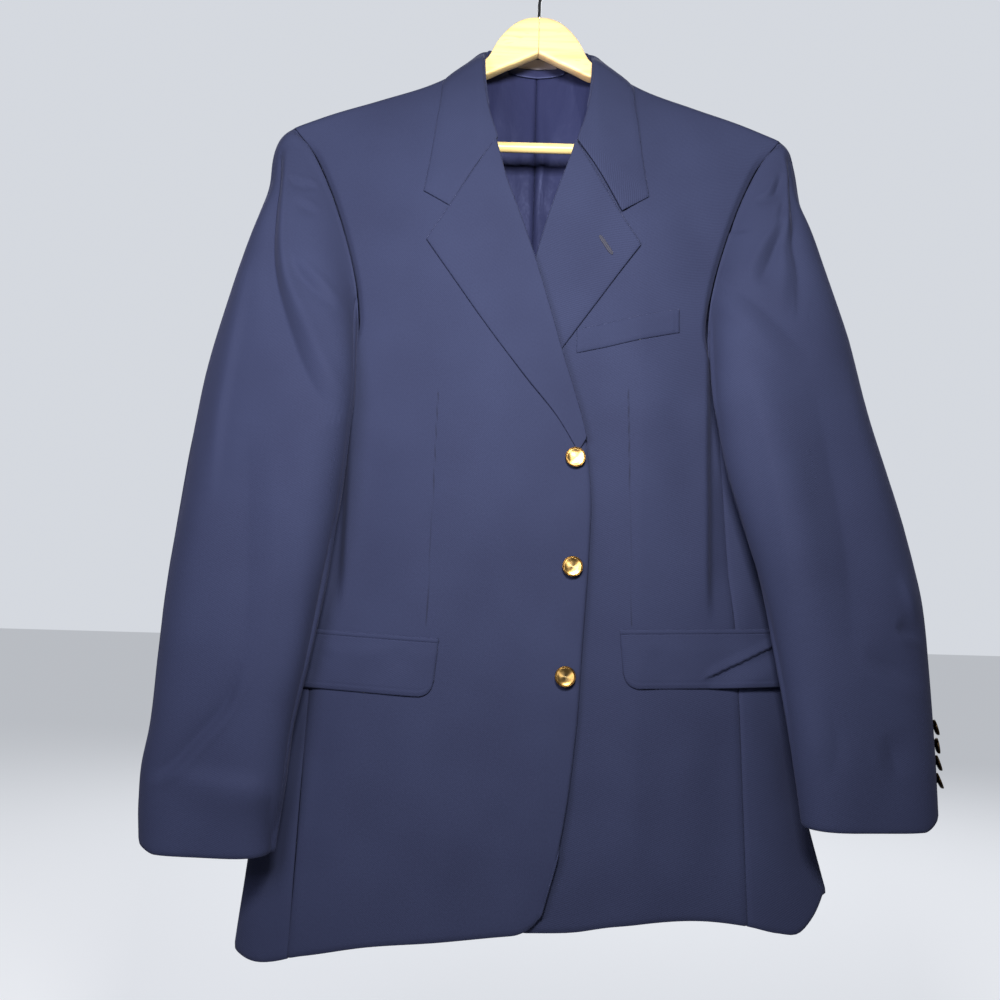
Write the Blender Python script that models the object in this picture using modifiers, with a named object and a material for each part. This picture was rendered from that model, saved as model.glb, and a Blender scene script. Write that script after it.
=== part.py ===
"""Single breasted blazer hanging on a contoured wooden hanger.

Lengths are in millimetres and become metres as each mesh is made. +Z is up, the jacket faces -Y,
and the origin is the inside of the hook's top bend, where a rail carries it. "right" and "left"
are the wearer's: the right front lies at -X, on top of the left one, and carries the buttons.
"""
import math

import bmesh
import bpy
import numpy as np

MM = 0.001
GAP = 0.3                # between two pieces at a seam
ARMHOLE_GAP = 0.9        # the armhole bends both ways, so its two edges stay further apart
UNDERARM_DROP = 7.0      # the side panel's top edge below the sleeve's
SLEEVE_OUT = 2.6         # how far the sleeve's edge stands off the side panel under the arm
CLOTH = 1.8              # wool with its canvas: fronts, sides, backs, sleeves, collar, lapels
TRIM = 1.4               # flaps, jets and the chest welt
SATIN = 1.0              # back lining, locker loop and neck label
LINING_IN = 2.6          # the lining's inner face from the back's inner face
LINING_DROP = 24.0       # the lining starts this far below the shoulder seam, clear of the hanger
RIGHT, LEFT = -1, 1      # the sign of X on the wearer's right and left

WOOL_BLUE = (0.055, 0.062, 0.125)
SATIN_BLUE = (0.060, 0.062, 0.120)
BRASS_GOLD = (0.60, 0.45, 0.20)
PALE_WOOD = (0.86, 0.74, 0.45)
CHROME_GREY = (0.75, 0.76, 0.78)
LABEL_GREY = (0.42, 0.41, 0.46)

# The closed ring of the body at each height: its two sides, its front and back at the centre
# and the depth at which its sides turn.
BODY_ROWS = [
    # z, right side x, left side x, front y, back y, side y
    (-100, 288, 288, -52, 40, -16),
    (-218, 284, 284, -54, 40, -16),
    (-300, 276, 276, -57, 42, -12),
    (-450, 266, 266, -61, 42, -6),
    (-520, 263, 263, -62, 42, -5),
    (-680, 254, 257, -63, 40, -4),
    (-780, 262, 270, -63, 40, -4),
    (-900, 262, 278, -61, 40, -5),
    (-980, 267, 297, -60, 40, -5),
    (-1080, 276, 326, -58, 40, -6),
]
SIDE_ROUNDING = 2.4      # exponent of the ring in x: 2 is an ellipse, more is boxier
DRAPE_DROP = 200.0       # cloth reaches its full depth this far below the shoulder
DRAPE_POWER = 0.8
SHOULDER_ROLL = 8.7      # the cloth turns over the hanger's arm at this radius
NECK_ROLL_FROM, NECK_ROLL_TO = 50.0, 62.0
SHOULDER_ROW = 0.008     # the share of a panel's height that turns over the shoulder

# The top edge of the panels: shoulder seam and neck seam, by distance from the centre.
FRONT_TOP_ROWS = [
    # x, z, y
    (0, -126, 0),
    (62, -130, -1.2),
    (80, -143, -2),
    (106, -159, -3.6),
    (169, -186, -9.1),
    (218, -206, -15.2),
    (259, -226, -21.4),
]
BACK_TOP_ROWS = [
    # x, z, y
    (0, -119, 38),
    (30, -120, 33),
    (50, -124, 20),
    (62, -130, -1.2),
    (80, -143, -2),
    (106, -159, -3.6),
    (169, -186, -9.1),
    (218, -206, -15.2),
    (259, -226, -21.4),
]

# The armhole, shared by the panels and the sleeves. The ring angle says which line of the sleeve
# hangs from the point: 0 is the sleeve's outer edge, 90 its front, 180 its inner edge.
ARMHOLE_FRONT_ROWS = [
    # z, x, ring angle
    (-226, 259, 0),
    (-236, 251, 50),
    (-253, 238, 84),
    (-290, 219, 110),
    (-320, 207, 127),
    (-352, 196, 142),
    (-387, 186, 158),
    (-423, 179, 174),
    (-457, 177, 190),
    (-482, 186, 212),
]
ARMHOLE_BACK_ROWS = [
    # z, x, ring angle
    (-226, 259, 360),
    (-243, 246, 342),
    (-290, 228, 328),
    (-350, 216, 318),
    (-420, 213, 308),
    (-476, 226, 297),
]
UNDERARM_ROWS = [
    # share of the side panel's width from its front seam, z, ring angle
    (0.0, -482, 212),
    (0.17, -496, 236),
    (0.38, -504, 256),
    (0.6, -504, 272),
    (0.8, -496, 285),
    (1.0, -476, 297),
]
SIDE_SEAM_ROWS = [
    # z, front seam x, back seam x
    (-476, 186, 226),
    (-560, 194, 224),
    (-680, 202, 218),
    (-800, 209, 224),
    (-980, 215, 232),
    (-1080, 218, 240),
]

# The front edges: the roll line down to the top button, then the closing edge, by how far each
# reaches past the centre line. The right front's edge shows, the left front's lies behind it.
EDGE_ROWS = [
    # z, right front, left front
    (-130, -61, -60),
    (-170, -59, -57),
    (-213, -53, -51),
    (-246, -45, -41),
    (-268, -39, -35),
    (-294, -32, -26),
    (-328, -19, -15),
    (-379, -1, -1),
    (-471, 27, 27),
    (-564, 54, 54),
    (-620, 60, 58),
    (-672, 59, 58),
    (-763, 54, 54),
    (-852, 49, 49),
    (-963, 33, 33),
    (-1040, 10, 10),
]
HEM_ROWS = [
    # x, z
    (-280, -1062),
    (-256, -1069),
    (-200, -1059),
    (-147, -1048),
    (-80, -1040),
    (0, -1031),
    (60, -1028),
    (93, -1022),
    (177, -1016),
    (222, -1022),
    (250, -1028),
    (274, -1029),
    (290, -1019),
    (314, -998),
]
HEM_CORNER = 30.0        # radius where a front edge turns into the hem
UNDER_SINK = 7.6         # how far the left front lies behind the right one where they overlap
SINK_FROM, SINK_TO = 112.0, 66.0
SINK_TOP, SINK_FULL = -255.0, -350.0

# Lapels: from the gorge down to the top button. The top edge runs straight from the roll line
# through the notch to the lapel's point.
GORGE_Z = -250.0
LAPEL_END_Z = -562.0
LAPEL_EDGE_ROWS = [
    # z, distance past the centre line, right then left lapel
    (-359, -110, -107),
    (-400, -81, -77),
    (-457, -40, -37),
    (-501, -6, -6),
    (-540, 26, 26),
    (-574, 47, 47),
]
LAPEL_ROLL = 3.5         # extra stand of the cloth at the roll line

# Collar: its fold and the edge of its fall, from the gorge round the neck to the centre back.
COLLAR_ROWS = [
    # along, fold x, fold z, edge x, edge z, fold lift, edge lift, on the back (0 to 1)
    (0, 42.5, -246, 88, -322, 5.0, 2.4, 0),
    (9, 44, -241, 114, -306, 5.0, 2.4, 0),
    (11, 44.5, -239, 115, -303, 5.0, 2.4, 0),
    (50, 52.5, -210, 109.5, -260, 5.0, 2.6, 0),
    (90, 59, -168, 105.5, -216, 4.5, 4.0, 0),
    (120, 61, -140, 102.5, -180, 5.0, 5.0, 0),
    (130, 61.5, -130, 103.5, -166, 6.0, 6.0, 0.05),
    (140, 61.5, -121, 104, -153.5, 3.5, 6.8, 0.5),
    (150, 60, -114, 102, -157, 5.0, 6.0, 0.95),
    (160, 56, -108, 96, -160, 4.0, 5.0, 1),
    (172, 48, -102, 82, -156, 3.0, 5.0, 1),
    (185, 37, -97, 63, -150, 3.0, 5.0, 1),
    (230, 0, -92, 0, -142, 3.0, 5.0, 1),
]
COLLAR_BOW = 2.0

# Sleeve tubes below the armhole: their outer and inner edges, the depth of each edge and how far
# the cloth bellies to the front and to the back.
SLEEVE_RIGHT_ROWS = [
    # z, outer x, inner x, outer y, inner y, front belly, back belly out, back belly in
    (-530, 333, 177, -33, -67, 44, 32, 2),
    (-600, 342, 183, -35, -68, 44, 32, 4),
    (-700, 350, 195, -40, -68, 42, 30, 6),
    (-780, 356, 208, -44, -68, 38, 26, 8),
    (-850, 359, 220, -48, -68, 33, 24, 10),
    (-920, 360, 227, -52, -66, 28, 24, 12),
    (-961, 358, 230, -54, -64, 26, 24, 14),
]
SLEEVE_LEFT_ROWS = [
    # z, outer x, inner x, outer y, inner y, front belly, back belly out, back belly in
    (-530, 345, 182, -33, -67, 44, 32, 2),
    (-590, 361, 192, -35, -68, 44, 32, 4),
    (-650, 375, 210, -38, -68, 44, 30, 6),
    (-700, 384, 226, -42, -68, 41, 28, 6),
    (-780, 389, 242, -46, -68, 37, 26, 8),
    (-850, 392, 253, -50, -67, 32, 24, 10),
    (-923, 393, 264, -54, -64, 26, 24, 14),
]
CAP_PUFF = 72.0          # how strongly the sleeve head leaves the armhole sideways
CUFF_DIP = 2.5           # the cuff's front hangs this much lower than its edges
CAP_FALL = 170.0         # how strongly its outer edge leaves downwards
CAP_ROLL = {RIGHT: 10.0, LEFT: 5.5}     # how far the padded shoulder rounds out at its end
CAP_ROLL_AT = 0.13       # the share of the sleeve head at which it is roundest
SLEEVE_CUT = {
    # back seam and front seam in degrees round the sleeve, columns of the top and the under sleeve
    RIGHT: (326.0, 172.0, 17, 9),
    LEFT: (352.0, 184.0, 15, 9),
}

# Pockets, in the plane of the front.
FLAP_WIDTH, FLAP_HEIGHT = 168.0, 51.0
FLAP_RIGHT = (-84.0, -765.0, 0.045)     # inner top corner x, z, rise of the top edge outwards
FLAP_LEFT = (91.0, -752.0, 0.03)
FLAP_CORNER = 16.0
SIDE_STAND, SIDE_STAND_FROM = 1.3, 190.0
JET_HEIGHT = 5.0
WELT_START, WELT_END = 44.5, 147.0
WELT_BOTTOM, WELT_RISE, WELT_HEIGHT = -473.0, 0.238, 24.0

FRONT_BUTTONS = [(44.0, -581.0), (43.0, -688.0), (38.0, -793.0)]
FRONT_BUTTON_DIAMETER, CUFF_BUTTON_DIAMETER = 20.0, 15.0
CUFF_BUTTON_PITCH = 16.5
CUFF_BUTTON_RISE = 41.0  # lowest cuff button above the cuff's edge
CUFF_BUTTON_ANGLE = {RIGHT: -23.0, LEFT: 8.0}

# Hanger
HANGER_ROWS = [
    # x, top z, bottom z, thickness
    (0, -78, -121, 14),
    (14, -78.5, -128, 14),
    (24, -85, -133, 14),
    (33, -92, -137, 14),
    (45, -108, -143, 14),
    (55, -127, -148, 14),
    (62, -133.5, -150, 14),
    (80, -146.4, -161, 14),
    (106, -162.4, -178, 14),
    (169, -189.4, -208, 14),
    (192, -203, -236, 14),
    (212, -209.4, -243, 13),
    (224, -222, -236, 11),
]
HANGER_FORWARD = 16.0    # the arms' ends curve this far towards the front
HANGER_REACH = 224.0
BAR_DIAMETER, BAR_HALF, BAR_Z = 11.0, 183.0, -234.0
HOOK_WIRE, HOOK_INNER_RADIUS = 3.6, 19.0
HOOK_TIP_ANGLE, HOOK_LEAVE_ANGLE = 205.0, -58.0
HOOK_PULL = 22.0         # how far the stem's bend keeps its direction at both ends


def clear_scene():
    """Removes every object the file opened with."""
    for thing in list(bpy.data.objects):
        bpy.data.objects.remove(thing, do_unlink=True)


def material(name, colour, roughness, metallic=0.0):
    """A plain Principled finish."""
    made = bpy.data.materials.new(name)
    made.use_nodes = True
    shader = made.node_tree.nodes["Principled BSDF"]
    shader.inputs["Base Color"].default_value = (*colour, 1.0)
    shader.inputs["Roughness"].default_value = roughness
    shader.inputs["Metallic"].default_value = metallic
    return made


def smooth(rows, at):
    """Reads a table at the given keys through cubics between its rows.

    The first column is the key. The slope at a row is the central difference of its neighbours."""
    table = np.array(rows, float)
    table = table[np.argsort(table[:, 0])]
    key, values = table[:, 0], table[:, 1:]
    slope = np.gradient(values, key, axis=0)
    at = np.clip(np.asarray(at, float), key[0], key[-1])
    i = np.clip(np.searchsorted(key, at, side="right") - 1, 0, len(key) - 2)
    span = key[i + 1] - key[i]
    t = ((at - key[i]) / span)[..., None]
    step = span[..., None]
    return ((2 * t**3 - 3 * t**2 + 1) * values[i] + (t**3 - 2 * t**2 + t) * step * slope[i]
            + (3 * t**2 - 2 * t**3) * values[i + 1] + (t**3 - t**2) * step * slope[i + 1])


def ease(t):
    """0 to 1 with no slope at either end."""
    t = np.clip(t, 0.0, 1.0)
    return t * t * (3 - 2 * t)


def ring(z):
    """Right side, left side, front, back and side depth of the body at a height."""
    return np.moveaxis(smooth(BODY_ROWS, z), -1, 0)


def panel_depth(x, z, face):
    """Depth of the body's skin in front (face -1) or behind (face 1) at x and z.

    Well below the shoulder it is the body's ring, whose depth falls off towards the side as the
    root of 1 - (x / side) ** SIDE_ROUNDING. At the top edge it is the shoulder or neck seam, from
    which it turns over a quarter circle, and it eases to the ring's depth over DRAPE_DROP."""
    right, left, front, back, side = ring(z)
    half = np.where(x < 0, right, left)
    centre = front if face < 0 else back
    bulge = np.sqrt(np.clip(1 - np.clip(np.abs(x) / half, 0, 1) ** SIDE_ROUNDING, 0, 1))
    deep = side + (centre - side) * bulge
    top = smooth(FRONT_TOP_ROWS if face < 0 else BACK_TOP_ROWS, np.abs(x))
    drop = np.clip((top[..., 0] - z) / DRAPE_DROP, 0, 1)
    share = (1 - (1 - drop) ** 2) ** DRAPE_POWER
    turned_over = np.clip(1 - (top[..., 0] - z) / SHOULDER_ROLL, 0, 1)
    roll = face * SHOULDER_ROLL * np.sqrt(1 - turned_over**2)
    roll = roll * np.clip((np.abs(x) - NECK_ROLL_FROM) / (NECK_ROLL_TO - NECK_ROLL_FROM), 0, 1)
    edge = top[..., 1] + roll
    return edge + (deep - edge) * share


def left_front_sink(x, z):
    """How far the left front lies further in than the body's skin, below the gorge, near the centre."""
    return (UNDER_SINK * ease((SINK_FROM - x) / (SINK_FROM - SINK_TO))
            * ease((SINK_TOP - z) / (SINK_TOP - SINK_FULL)))


def front_points(x, z, side):
    """Points of a front at x and z."""
    y = panel_depth(x, z, -1)
    if side == LEFT:
        y = y + left_front_sink(x, z)
    return np.stack([x, y, z], axis=-1)


def edge_past_centre(z, side):
    """X of a front edge or roll line, which is past the centre line where it is positive."""
    column = 0 if side == RIGHT else 1
    return -side * smooth(EDGE_ROWS, z)[..., column]


def hem_height(x):
    """Height of the hem at x."""
    return smooth(HEM_ROWS, x)[..., 0]


def grid(columns, rows, crowd=1.0):
    """Two parameters from 0 to 1, across and down. Crowd over 1 packs rows towards the top."""
    return np.meshgrid(np.linspace(0, 1, columns), np.linspace(0, 1, rows) ** crowd)


def panel_grid(stations, rows):
    """Across through the given distances, and down with a first row just over the shoulder's roll."""
    across = (np.array(stations, float) - stations[0]) / (stations[-1] - stations[0])
    down = np.concatenate([[0], SHOULDER_ROW + (1 - SHOULDER_ROW) * np.linspace(0, 1, rows) ** 1.3])
    return np.meshgrid(across, down)


def moved_out(points, distance):
    """The grid moved along its own normals, which face out of the jacket."""
    across = np.gradient(points, axis=1)
    down = np.gradient(points, axis=0)
    normal = np.cross(down, across)
    normal /= np.linalg.norm(normal, axis=-1, keepdims=True)
    return points + normal * np.asarray(distance)[..., None]


def sheet(name, points, thickness, finish, flip=False):
    """A cloth wall: a grid of points as an open surface, with Solidify outwards.

    Rows of the grid run down and columns across, so that down x across points out of the cloth;
    flip is for a grid whose columns run the other way."""
    if flip:
        points = points[:, ::-1]
    rows, columns = points.shape[:2]
    index = np.arange(rows * columns).reshape(rows, columns)
    quads = np.stack([index[:-1, :-1], index[1:, :-1], index[1:, 1:], index[:-1, 1:]], axis=-1)
    mesh = bpy.data.meshes.new(name)
    mesh.from_pydata((points.reshape(-1, 3) * MM).tolist(), [], quads.reshape(-1, 4).tolist())
    mesh.update()
    made = bpy.data.objects.new(name, mesh)
    mesh.materials.append(finish)
    wall = made.modifiers.new("wall", "SOLIDIFY")
    wall.thickness = thickness * MM
    wall.offset = 1.0
    BLAZER.objects.link(made)
    return made


def ruled_panel(inner_x, outer_x, top_z, bottom_z, across, down):
    """X and z of a panel between two upright edges.

    Height runs straight from top_z to bottom_z (functions of the share across), and x straight
    from the inner to the outer edge (functions of height)."""
    z = top_z(across) * (1 - down) + bottom_z(across) * down
    z_inner = top_z(0 * across) * (1 - down) + bottom_z(0 * across) * down
    z_outer = top_z(0 * across + 1) * (1 - down) + bottom_z(0 * across + 1) * down
    x = inner_x(z_inner) * (1 - across) + outer_x(z_outer) * across
    return x, z


def armhole_x(z, rows, seam_column):
    """The outer edge of a front or back: the armhole, then the seam to the side panel."""
    arm = smooth([row[:2] for row in rows], z)[..., 0]
    seam = smooth(SIDE_SEAM_ROWS, z)[..., seam_column]
    return np.where(z > rows[-1][0], arm, seam)


def front(side):
    """One front, from its edge and roll line to the armhole and the side panel's seam."""
    across, down = panel_grid([62, 74, 88, 106, 128, 152, 178, 205, 232, 259], 20)
    shoulder = np.array([row[0] for row in FRONT_TOP_ROWS[1:]], float)

    def top_z(share):
        return smooth(FRONT_TOP_ROWS, shoulder[0] + (shoulder[-1] - shoulder[0]) * share)[..., 0]

    def bottom_z(share):
        edge = edge_past_centre(np.array(-1015.0), side)
        seam = side * SIDE_SEAM_ROWS[-2][2 - 1]
        x = edge * (1 - share) + seam * share
        past = np.clip(1 - np.abs(x - edge) / HEM_CORNER, 0, 1)
        return hem_height(x) + HEM_CORNER * (1 - np.sqrt(1 - past**2))

    def inner_x(z):
        return edge_past_centre(z, side)

    def outer_x(z):
        return side * (armhole_x(z, ARMHOLE_FRONT_ROWS, 0) - ARMHOLE_GAP)

    x, z = ruled_panel(inner_x, outer_x, top_z, bottom_z, across, down)
    name = "front_right" if side == RIGHT else "front_left"
    return sheet(name, front_points(x, z, side), CLOTH, WOOL, flip=side == RIGHT)


def back(side):
    """One back, from the centre seam to the armhole and the side panel's seam."""
    across, down = panel_grid([0, 24, 42, 53, 62, 80, 106, 142, 178, 218, 259], 17)
    reach = BACK_TOP_ROWS[-1][0]

    def top_z(share):
        return smooth(BACK_TOP_ROWS, reach * share)[..., 0]

    def bottom_z(share):
        return hem_height(side * 232.0 * share) + 2.0

    def inner_x(z):
        return side * GAP / 2 + 0 * z

    def outer_x(z):
        return side * (armhole_x(z, ARMHOLE_BACK_ROWS, 1) - ARMHOLE_GAP)

    x, z = ruled_panel(inner_x, outer_x, top_z, bottom_z, across, down)
    y = panel_depth(x, z, 1) + GAP
    name = "back_right" if side == RIGHT else "back_left"
    return sheet(name, np.stack([x, y, z], -1), CLOTH, WOOL, flip=side == LEFT)


def side_ring(share, z, side):
    """X and y on the body's ring between the side panel's front seam (0) and back seam (1)."""
    right, left, front_y, back_y, side_y = ring(z)
    half = right if side == RIGHT else left
    seams = smooth(SIDE_SEAM_ROWS, z) + GAP
    turns = np.arccos(np.clip(seams / half[..., None], 0, 1) ** (SIDE_ROUNDING / 2))
    turn = -turns[..., 0] * (1 - share) + turns[..., 1] * share
    x = side * half * np.abs(np.cos(turn)) ** (2 / SIDE_ROUNDING)
    centre = np.where(turn < 0, front_y, back_y)
    return x, side_y + (centre - side_y) * np.abs(np.sin(turn))


def side_panel(side):
    """The side body under the arm, round the body's ring from the front seam to the back seam."""
    across, down = grid(8, 14)
    top = smooth([row[:2] for row in UNDERARM_ROWS], across)[..., 0] - UNDERARM_DROP
    level = top * (1 - down) + down * HEM_ROWS[0][1]
    bottom = hem_height(side_ring(across, level, side)[0])
    z = top * (1 - down) + bottom * down
    x, y = side_ring(across, z, side)
    name = "side_right" if side == RIGHT else "side_left"
    return sheet(name, np.stack([x, y, z], -1), CLOTH, WOOL, flip=side == RIGHT)


def lapel(side):
    """One lapel: the turned facing on its front, from the roll line to the outer edge."""
    across, down = grid(6, 15)
    column = 0 if side == RIGHT else 1
    edge_rows = [(row[0], row[1 + column]) for row in LAPEL_EDGE_ROWS]

    def top_z(share):
        return GORGE_Z * (1 - share) + LAPEL_EDGE_ROWS[0][0] * share

    def bottom_z(share):
        return LAPEL_END_Z * (1 - share) + LAPEL_EDGE_ROWS[-1][0] * share

    def inner_x(z):
        return edge_past_centre(z, side)

    def outer_x(z):
        return -side * smooth(edge_rows, z)[..., 0]

    x, z = ruled_panel(inner_x, outer_x, top_z, bottom_z, across, down)
    lift = CLOTH + 4 * GAP + LAPEL_ROLL * (1 - across) ** 2 * (1 - 0.8 * down)
    points = moved_out_of_front(x, z, side, lift)
    name = "lapel_right" if side == RIGHT else "lapel_left"
    return sheet(name, points, CLOTH, WOOL, flip=side == RIGHT)


def moved_out_of_front(x, z, side, lift):
    """Points of a front at x and z, moved out of it towards the viewer."""
    points = front_points(x, z, side)
    if side == RIGHT:
        return moved_out(points[:, ::-1], np.asarray(lift)[:, ::-1])[:, ::-1]
    return moved_out(points, lift)


def collar_half(along, across, side):
    """Points of the collar's fall on one side: along it from the gorge, across from fold to edge."""
    row = np.moveaxis(smooth(COLLAR_ROWS, along), -1, 0)
    fold_x, fold_z, edge_x, edge_z, fold_lift, edge_lift, behind = row
    x = side * (fold_x * (1 - across) + edge_x * across)
    z = fold_z * (1 - across) + edge_z * across
    lift = fold_lift * (1 - across) ** 2 + edge_lift * (1 - (1 - across) ** 2)
    on_front = panel_depth(x, z, -1) - lift - CLOTH
    on_back = panel_depth(x, z, 1) + lift + CLOTH
    behind = ease(behind)
    y = on_front * (1 - behind) + on_back * behind
    bow = COLLAR_BOW * np.sin(math.pi * across)
    return np.stack([x + side * bow * 0.4, y, z + bow], axis=-1)


def collar_fall():
    """The top collar's fall, from one gorge round the neck to the other."""
    along = np.array([0, 10, 30, 50, 70, 90, 105, 120, 130, 140, 150, 160, 172, 185, 207, 230.0])
    across, half_along = np.meshgrid(np.linspace(0, 1, 5), along)
    right = collar_half(half_along, across, RIGHT)
    left = collar_half(half_along, across, LEFT)[::-1]
    points = np.concatenate([right, left[1:]])
    return sheet("collar", np.swapaxes(points, 0, 1), CLOTH, WOOL, flip=True)


def collar_stand():
    """The collar's stand: up from the neck seam to just inside the fold."""
    along = np.array([152, 160, 172, 185, 207, 230.0])
    halves = []
    for side in (RIGHT, LEFT):
        fold = collar_half(along, 0 * along, side)
        seam_x = np.abs(fold[:, 0])
        seam = smooth(BACK_TOP_ROWS, seam_x)
        top = fold + np.array([0, 0, -1.0])
        inward = np.stack([-0.06 * fold[:, 0], -3.2 + 0 * along, 0 * along], -1)
        bottom = np.stack([fold[:, 0], np.where(along > 150, seam[:, 1] + 1.2, fold[:, 1] + 2.0),
                           np.minimum(seam[:, 0] + 0.8, top[:, 2] - 4.0)], -1)
        halves.append(np.stack([top + inward, (top + bottom) / 2 + inward, bottom], 1))
    points = np.concatenate([halves[0], halves[1][::-1][1:]])
    return sheet("collar_stand", np.swapaxes(points, 0, 1), CLOTH * 0.7, WOOL, flip=True)


def armhole_loop(angle, side):
    """The armhole's point for each ring angle of the sleeve, in degrees."""
    rows = []
    for z, x, turn in ARMHOLE_FRONT_ROWS:
        y = panel_depth(np.array(side * x), np.array(z), -1) - SLEEVE_OUT * 0.7
        rows.append((turn, x + SLEEVE_OUT * 0.7, y, z))
    for share, z, turn in UNDERARM_ROWS[1:-1]:
        x, y = side_ring(np.array(share), np.array(float(z)), LEFT)
        rows.append((turn, x + SLEEVE_OUT, y, z))
    for z, x, turn in ARMHOLE_BACK_ROWS:
        rows.append((turn, x, panel_depth(np.array(side * x), np.array(z), 1), z))
    return smooth(rows, np.mod(angle, 360.0001))


def tube_ring(z, angle, rows):
    """The sleeve's cross-section at a height.

    Its inner and outer edges are joined by two half ovals, one to the front and one to the back.
    The back one is deeper on its outer side, because the inner side rests on the body."""
    outer_x, inner_x, outer_y, inner_y, front, back_out, back_in = np.moveaxis(smooth(rows, z), -1, 0)
    turn = np.radians(angle)
    outward = (1 + np.cos(turn)) / 2
    x = inner_x + (outer_x - inner_x) * outward
    y = inner_y + (outer_y - inner_y) * outward
    back_belly = back_in + (back_out - back_in) * outward
    y = y - np.sin(turn) * np.where(np.sin(turn) > 0, front, back_belly)
    return np.stack([x, y, z + 0 * x], axis=-1)


def sleeve_points(angle, down, side):
    """Points of a sleeve: angle is round it in degrees, down is 0 at the armhole and 2 at the cuff.

    From 0 to 1 a cubic leaves the armhole sideways and falls into the tube's first ring; from 1 to
    2 the rings follow each other down to the cuff."""
    rows = SLEEVE_RIGHT_ROWS if side == RIGHT else SLEEVE_LEFT_ROWS
    start = armhole_loop(angle, side)
    first = tube_ring(np.full(angle.shape, float(rows[0][0])), angle, rows)
    below = tube_ring(np.full(angle.shape, float(rows[0][0]) - 10.0), angle, rows)
    turn = np.radians(angle)
    outward = (1 + np.cos(turn)) / 2
    edge = np.clip(np.cos(turn), 0, 1) ** 2
    reach = CAP_PUFF * (0.25 + 0.75 * outward - 0.25 * edge)
    forward = np.where(np.sin(turn) > 0, 1.0, outward)
    leave = np.stack([reach, -np.sin(turn) * reach * 0.75 * forward - 6,
                      -reach * 0.3 - CAP_FALL * edge], axis=-1)
    fall = (below - first) / 10.0 * (start[..., 2:] - first[..., 2:])
    t = np.clip(down, 0, 1)[..., None]
    cap = ((2 * t**3 - 3 * t**2 + 1) * start + (t**3 - 2 * t**2 + t) * leave
           + (3 * t**2 - 2 * t**3) * first + (t**3 - t**2) * fall)
    past = t[..., 0] / CAP_ROLL_AT
    cap[..., 0] += CAP_ROLL[side] * past * np.exp((1 - past**2) / 2) * np.clip(np.cos(turn), 0, 1)
    low = np.clip(down - 1, 0, 1)
    z = rows[0][0] + (rows[-1][0] - rows[0][0]) * low
    tube = tube_ring(z, angle, rows)
    tube[..., 2] -= CUFF_DIP * ease(low * 3 - 2) * np.clip(np.sin(turn), 0, 1)
    points = np.where(down[..., None] <= 1, cap, tube)
    points[..., 0] *= side
    return points


def sleeve_piece(name, first_angle, last_angle, columns, side):
    """The top sleeve or the under sleeve, between its two seams."""
    gap_angle = 0.3
    angles = np.linspace(first_angle + gap_angle, last_angle - gap_angle, columns)
    head = 0.012 + 0.988 * np.linspace(0, 1, 9) ** 1.5
    downs = np.concatenate([head, np.linspace(1, 2, 7)[1:]])
    angle, down = np.meshgrid(angles, downs)
    points = sleeve_points(angle, down, side)
    return sheet(name, points, CLOTH * 0.9, WOOL, flip=side == LEFT)


def sleeves(side):
    """A two-piece sleeve. The back seam runs down the outer edge, the front seam behind the inner."""
    word = "right" if side == RIGHT else "left"
    back_seam, front_seam, top_columns, under_columns = SLEEVE_CUT[side]
    sleeve_piece("top_sleeve_" + word, back_seam - 360, front_seam, top_columns, side)
    sleeve_piece("under_sleeve_" + word, front_seam, back_seam, under_columns, side)


def pocket_lift(x):
    """How far a flap or jet stands off the skin: more where it turns round the side panel."""
    return CLOTH + 2 * GAP + SIDE_STAND * ease((np.abs(x) - SIDE_STAND_FROM) / 30)


def flap_xz(side, across, down):
    """X and z on a pocket flap: across from its inner end, down from its top edge."""
    inner_x, top, rise = FLAP_RIGHT if side == RIGHT else FLAP_LEFT
    x = inner_x + side * (FLAP_WIDTH * across + 3 * down * (1 - across))
    z_top = top + rise * FLAP_WIDTH * across
    end = np.minimum(across, 1 - across) * FLAP_WIDTH
    past = np.clip(1 - end / FLAP_CORNER, 0, 1)
    height = FLAP_HEIGHT - FLAP_CORNER * (1 - np.sqrt(1 - past**2))
    return x, z_top - height * down


def pocket(side):
    """A flap pocket: the flap lies on the front and side panel, and a jet edges its mouth above."""
    word = "right" if side == RIGHT else "left"
    share = np.array([0, 0.02, 0.05, 0.1, 0.25, 0.4, 0.55, 0.7, 0.82, 0.9, 0.95, 0.98, 1.0])
    across, down = np.meshgrid(share, np.linspace(0, 1, 4))
    x, z = flap_xz(side, across, down)
    points = moved_out_of_front(x, z, side, pocket_lift(x))
    sheet("flap_" + word, points, TRIM, WOOL, flip=side == RIGHT)
    across, down = np.meshgrid(np.linspace(0, 1, 9), [0.0, 1.0])
    inner_x, top, rise = FLAP_RIGHT if side == RIGHT else FLAP_LEFT
    x = inner_x + side * FLAP_WIDTH * across
    z = top + rise * FLAP_WIDTH * across + JET_HEIGHT * (1 - down) + GAP
    points = moved_out_of_front(x, z, side, pocket_lift(x))
    sheet("jet_" + word, points, TRIM, WOOL, flip=side == RIGHT)


def chest_welt():
    """The breast pocket's welt on the left front, its inner end under the lapel."""
    across, down = np.meshgrid(np.linspace(0, 1, 8), np.linspace(0, 1, 3))
    x = WELT_START + (WELT_END - WELT_START) * across
    bottom = WELT_BOTTOM + WELT_RISE * (x - WELT_START)
    z = bottom + WELT_HEIGHT * (1 - down)
    points = moved_out_of_front(x, z, LEFT, CLOTH + 3 * GAP + 0 * x)
    return sheet("chest_welt", points, TRIM, WOOL)


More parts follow.
